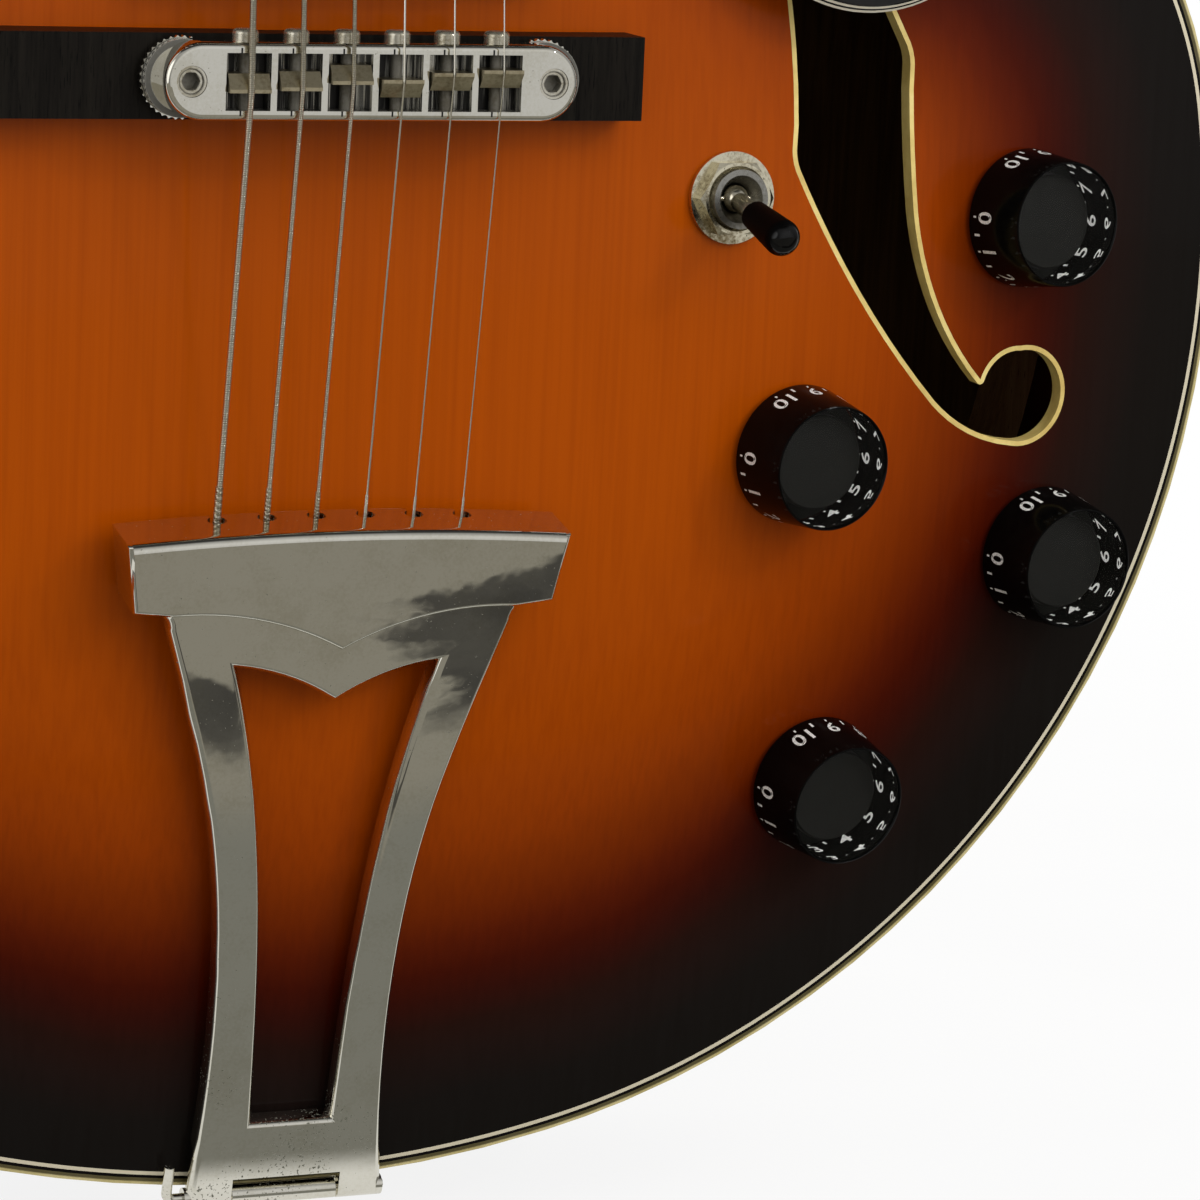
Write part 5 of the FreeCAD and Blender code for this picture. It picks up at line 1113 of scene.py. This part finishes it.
def placeCamera(look):
    yaw, pitch, roll = (math.radians(look[key]) for key in ("yaw", "pitch", "roll"))
    ahead = Vector((math.sin(yaw) * math.cos(pitch), math.cos(yaw) * math.cos(pitch), math.sin(pitch)))
    side = Vector((math.cos(yaw), -math.sin(yaw), 0.0))
    top = side.cross(ahead)
    right = side * math.cos(roll) + top * math.sin(roll)
    up = top * math.cos(roll) - side * math.sin(roll)
    camera = show("photoCamera", bpy.data.cameras.new("photoCamera"))
    camera.data.lens = look["lens"]
    camera.data.sensor_width = look["sensor"]
    camera.data.clip_start = look["nearest"]
    camera.matrix_world = Matrix.Translation(look["place"]) @ Matrix((right, up, -ahead)).transposed().to_4x4()
    bpy.context.scene.camera = camera


placeCamera(photoCamera)
studio = {
    "ambient": 0.88,
    "key": {"place": (0.6, -1.5, 1.15), "aim": (0.05, -0.05, 0.2), "size": 1.5, "power": 16.5, "glint": False},
    "bulb": {"place": (0.95, -1.2, 1.0), "aim": (0.05, -0.05, 0.2), "size": 0.07, "power": 2.0, "glint": True},
    "floorSize": 3.0,
    "floorDrop": 0.002,
    "floorGrey": (140, 137, 128),
    "paper": [(0.3, (228, 227, 225)), (0.7, (236, 235, 233))],
    "shadowShare": 0.14,
    "shadowReach": (350.0, 900.0),
}


def seenRays(flow):
    # 1 for the rays that show the white background: the camera's, a mirror's and those through clear plastic
    ray = flow.node("ShaderNodeLightPath").socket.node
    camera, glossy, clear = (Flow(flow.tree, ray.outputs[name]) for name in
                             ("Is Camera Ray", "Is Glossy Ray", "Is Transmission Ray"))
    return (camera + glossy + clear).least(1.0)


def studioWorld(look):
    world = bpy.data.worlds.new("studio")
    bpy.context.scene.world = world
    world.use_nodes = True
    world.node_tree.nodes.clear()
    flow = Flow(world.node_tree)
    strength = seenRays(flow).pick(look["ambient"], 1.0)
    shader = flow.node("ShaderNodeBackground", None, {"Color": white, "Strength": strength})
    flow.node("ShaderNodeOutputWorld", None, {"Surface": shader})


studioWorld(studio)
roomLook = {
    "centre": (50.0, -50.0, 200.0),
    "radius": 2.4,
    "back": 0.3,  # nothing of the room lies behind this
    "ahead": {"way": (0.26, -0.96, -0.08), "span": (0.6, 0.99), "gain": 0.42},
    "above": {"span": (-0.35, 0.75), "gain": 0.26},
    "base": 0.14,
    "ceiling": {"span": (0.72, 0.9), "gain": 0.9},
    "pane": {"way": (-0.88, -0.42, 0.22), "span": (0.88, 0.96), "gain": 1.3},
}


def roomGlow(flow):
    # the studio in front of the object: bright ahead, paler above, and a bright pane at the left
    offset = flow.vector("SUBTRACT", {0: flow.spot(), 1: roomLook["centre"]})
    direction = flow.vector("NORMALIZE", {0: offset})
    _, _, z = direction.xyz()

    def part(name, value):
        return value.span(*roomLook[name]["span"]) * roomLook[name]["gain"]

    ahead = part("ahead", direction.along(*roomLook["ahead"]["way"]))
    pane = part("pane", direction.along(*roomLook["pane"]["way"]))
    strength = (ahead + part("above", z) + roomLook["base"]) * (1 - part("ceiling", z)) + pane
    return flow.glow(white, strength)


# the card's colours and the places of its painted reflections, in millimetres
cardLook = {
    "grey": (140, 137, 128),
    "nearGrey": (125, 125, 119),
    "nearFrom": (-215.0, -185.0),
    "dark": (66, 65, 63),
    "leftTop": (-236.0, -216.0),
    "leftFoot": (-258.0, -253.0),
    "leftEnd": (44.0, 54.0),
    "rightTop": (-238.0, -222.0),
    "rightFoot": (-262.0, -257.0),
    "rightStart": (90.0, 106.0),
    "rightLean": 0.25,
    "ragged": 30.0,
    "edge": (226, 226, 224),
    "edgeFrom": (-78.0, -68.0),
    "lamp": (284.0, -338.0, 0.0),
    "glintSpotSize": (10.0, 18.0),
    "glintSpotGain": 20.0,
    "level": 1.05,
}


def cardGlow(flow):
    # a grey card on the floor, seen only in mirrors, with painted reflections: two dark patches in front of the foot,
    # a white edge under the object, and a small glowing spot that paints a glint
    look = cardLook
    spot = flow.spot()
    x, y, _ = spot.xyz()
    streak = (spot.stretch(0.3, 1.0, 1.0).noise(0.09, 4.0, 0.6) - 0.5) * look["ragged"]

    def rise(value, share, name):
        # 0 to 1 over a named span, along a ragged line
        return (value + streak * share).span(*look[name])

    left = rise(y, 0.3, "leftFoot") * (1 - rise(y, 0.4, "leftTop")) * (1 - rise(x, 1.0, "leftEnd"))
    right = rise(y + x * look["rightLean"], 0.4, "rightFoot") * (1 - rise(y, 0.4, "rightTop"))
    right = right * rise(x, 2.2, "rightStart")
    dim = left.most(right) * (spot.noise(0.04, 3.0) * 0.5 + 0.7)
    colour = y.span(*look["nearFrom"]).tint(rgb(*look["grey"]), rgb(*look["nearGrey"]))
    colour = dim.tint(colour, rgb(*look["dark"]))
    colour = y.span(*look["edgeFrom"]).tint(colour, rgb(*look["edge"]))
    # a painted glint: a small spot that glows only in mirrors
    lamp = 1 - spot.reach(*look["lamp"]).span(*look["glintSpotSize"])
    return flow.glow(colour, lamp * look["glintSpotGain"] + look["level"])


def floorFinish(flow):
    # paper that keeps the object's shadow and goes to plain white further off
    spot = flow.spot()
    x, y, _ = spot.xyz()
    share = studio["shadowShare"]
    far = flow.maths("SQRT", x * x + y * y).span(*studio["shadowReach"])
    paper = spot.noise(0.01, 2.0).ramp(tones(studio["paper"]))
    lit = flow.node("ShaderNodeBsdfDiffuse", None, {"Color": paper})
    grey = flow.node("ShaderNodeBsdfDiffuse", None, {"Color": rgb(*studio["floorGrey"])})
    pale = (far * share + (1 - share)).mixed(lit, flow.glow(white, 1.0))
    return seenRays(flow).mixed(grey, pale)


def setStage(name, mesh, recipe, unseen=()):
    mesh.materials.append(newFinish(name, recipe))
    sheet = show(name, mesh)
    for kind in unseen:
        setattr(sheet, "visible_" + kind, False)


def flatSheet(name, half, height):
    mesh = bpy.data.meshes.new(name)
    mesh.from_pydata([(-half, -half, height), (half, -half, height), (half, half, height), (-half, half, height)],
                     [], [(0, 1, 2, 3)])
    return mesh


def buildStage(look):
    # the floor, and the studio's front half and a card on the floor, which only mirrors see
    work = bmesh.new()
    bmesh.ops.create_uvsphere(work, u_segments=48, v_segments=24, radius=roomLook["radius"])
    bmesh.ops.translate(work, verts=work.verts, vec=Vector(roomLook["centre"]) / 1000)
    bmesh.ops.delete(work, geom=[v for v in work.verts if v.co.y > roomLook["back"]], context="VERTS")
    half = look["floorSize"] / 2
    mirrorsOnly = ("camera", "diffuse", "transmission", "volume_scatter", "shadow")
    setStage("studioRoom", asMesh("studioRoom", work), roomGlow, mirrorsOnly)
    card = flatSheet("floorCard", half, cadBox[0][2] - look["floorDrop"] / 2)
    setStage("floorCard", card, cardGlow, mirrorsOnly)
    setStage("floor", flatSheet("floor", half, cadBox[0][2] - look["floorDrop"]), floorFinish)


def hangLight(name, look):
    lamp = bpy.data.lights.new(name, "AREA")
    lamp.energy = look["power"]
    lamp.size = look["size"]
    light = show(name, lamp)
    aim = Vector(look["aim"]) - Vector(look["place"])
    light.matrix_world = Matrix.Translation(look["place"]) @ aim.to_track_quat("-Z", "Y").to_matrix().to_4x4()
    light.visible_glossy = look["glint"]


buildStage(studio)
hangLight("keyLight", studio["key"])
hangLight("bulbLight", studio["bulb"])
bpy.context.scene.view_settings.view_transform = "Standard"
print("camera, light and floor are set")
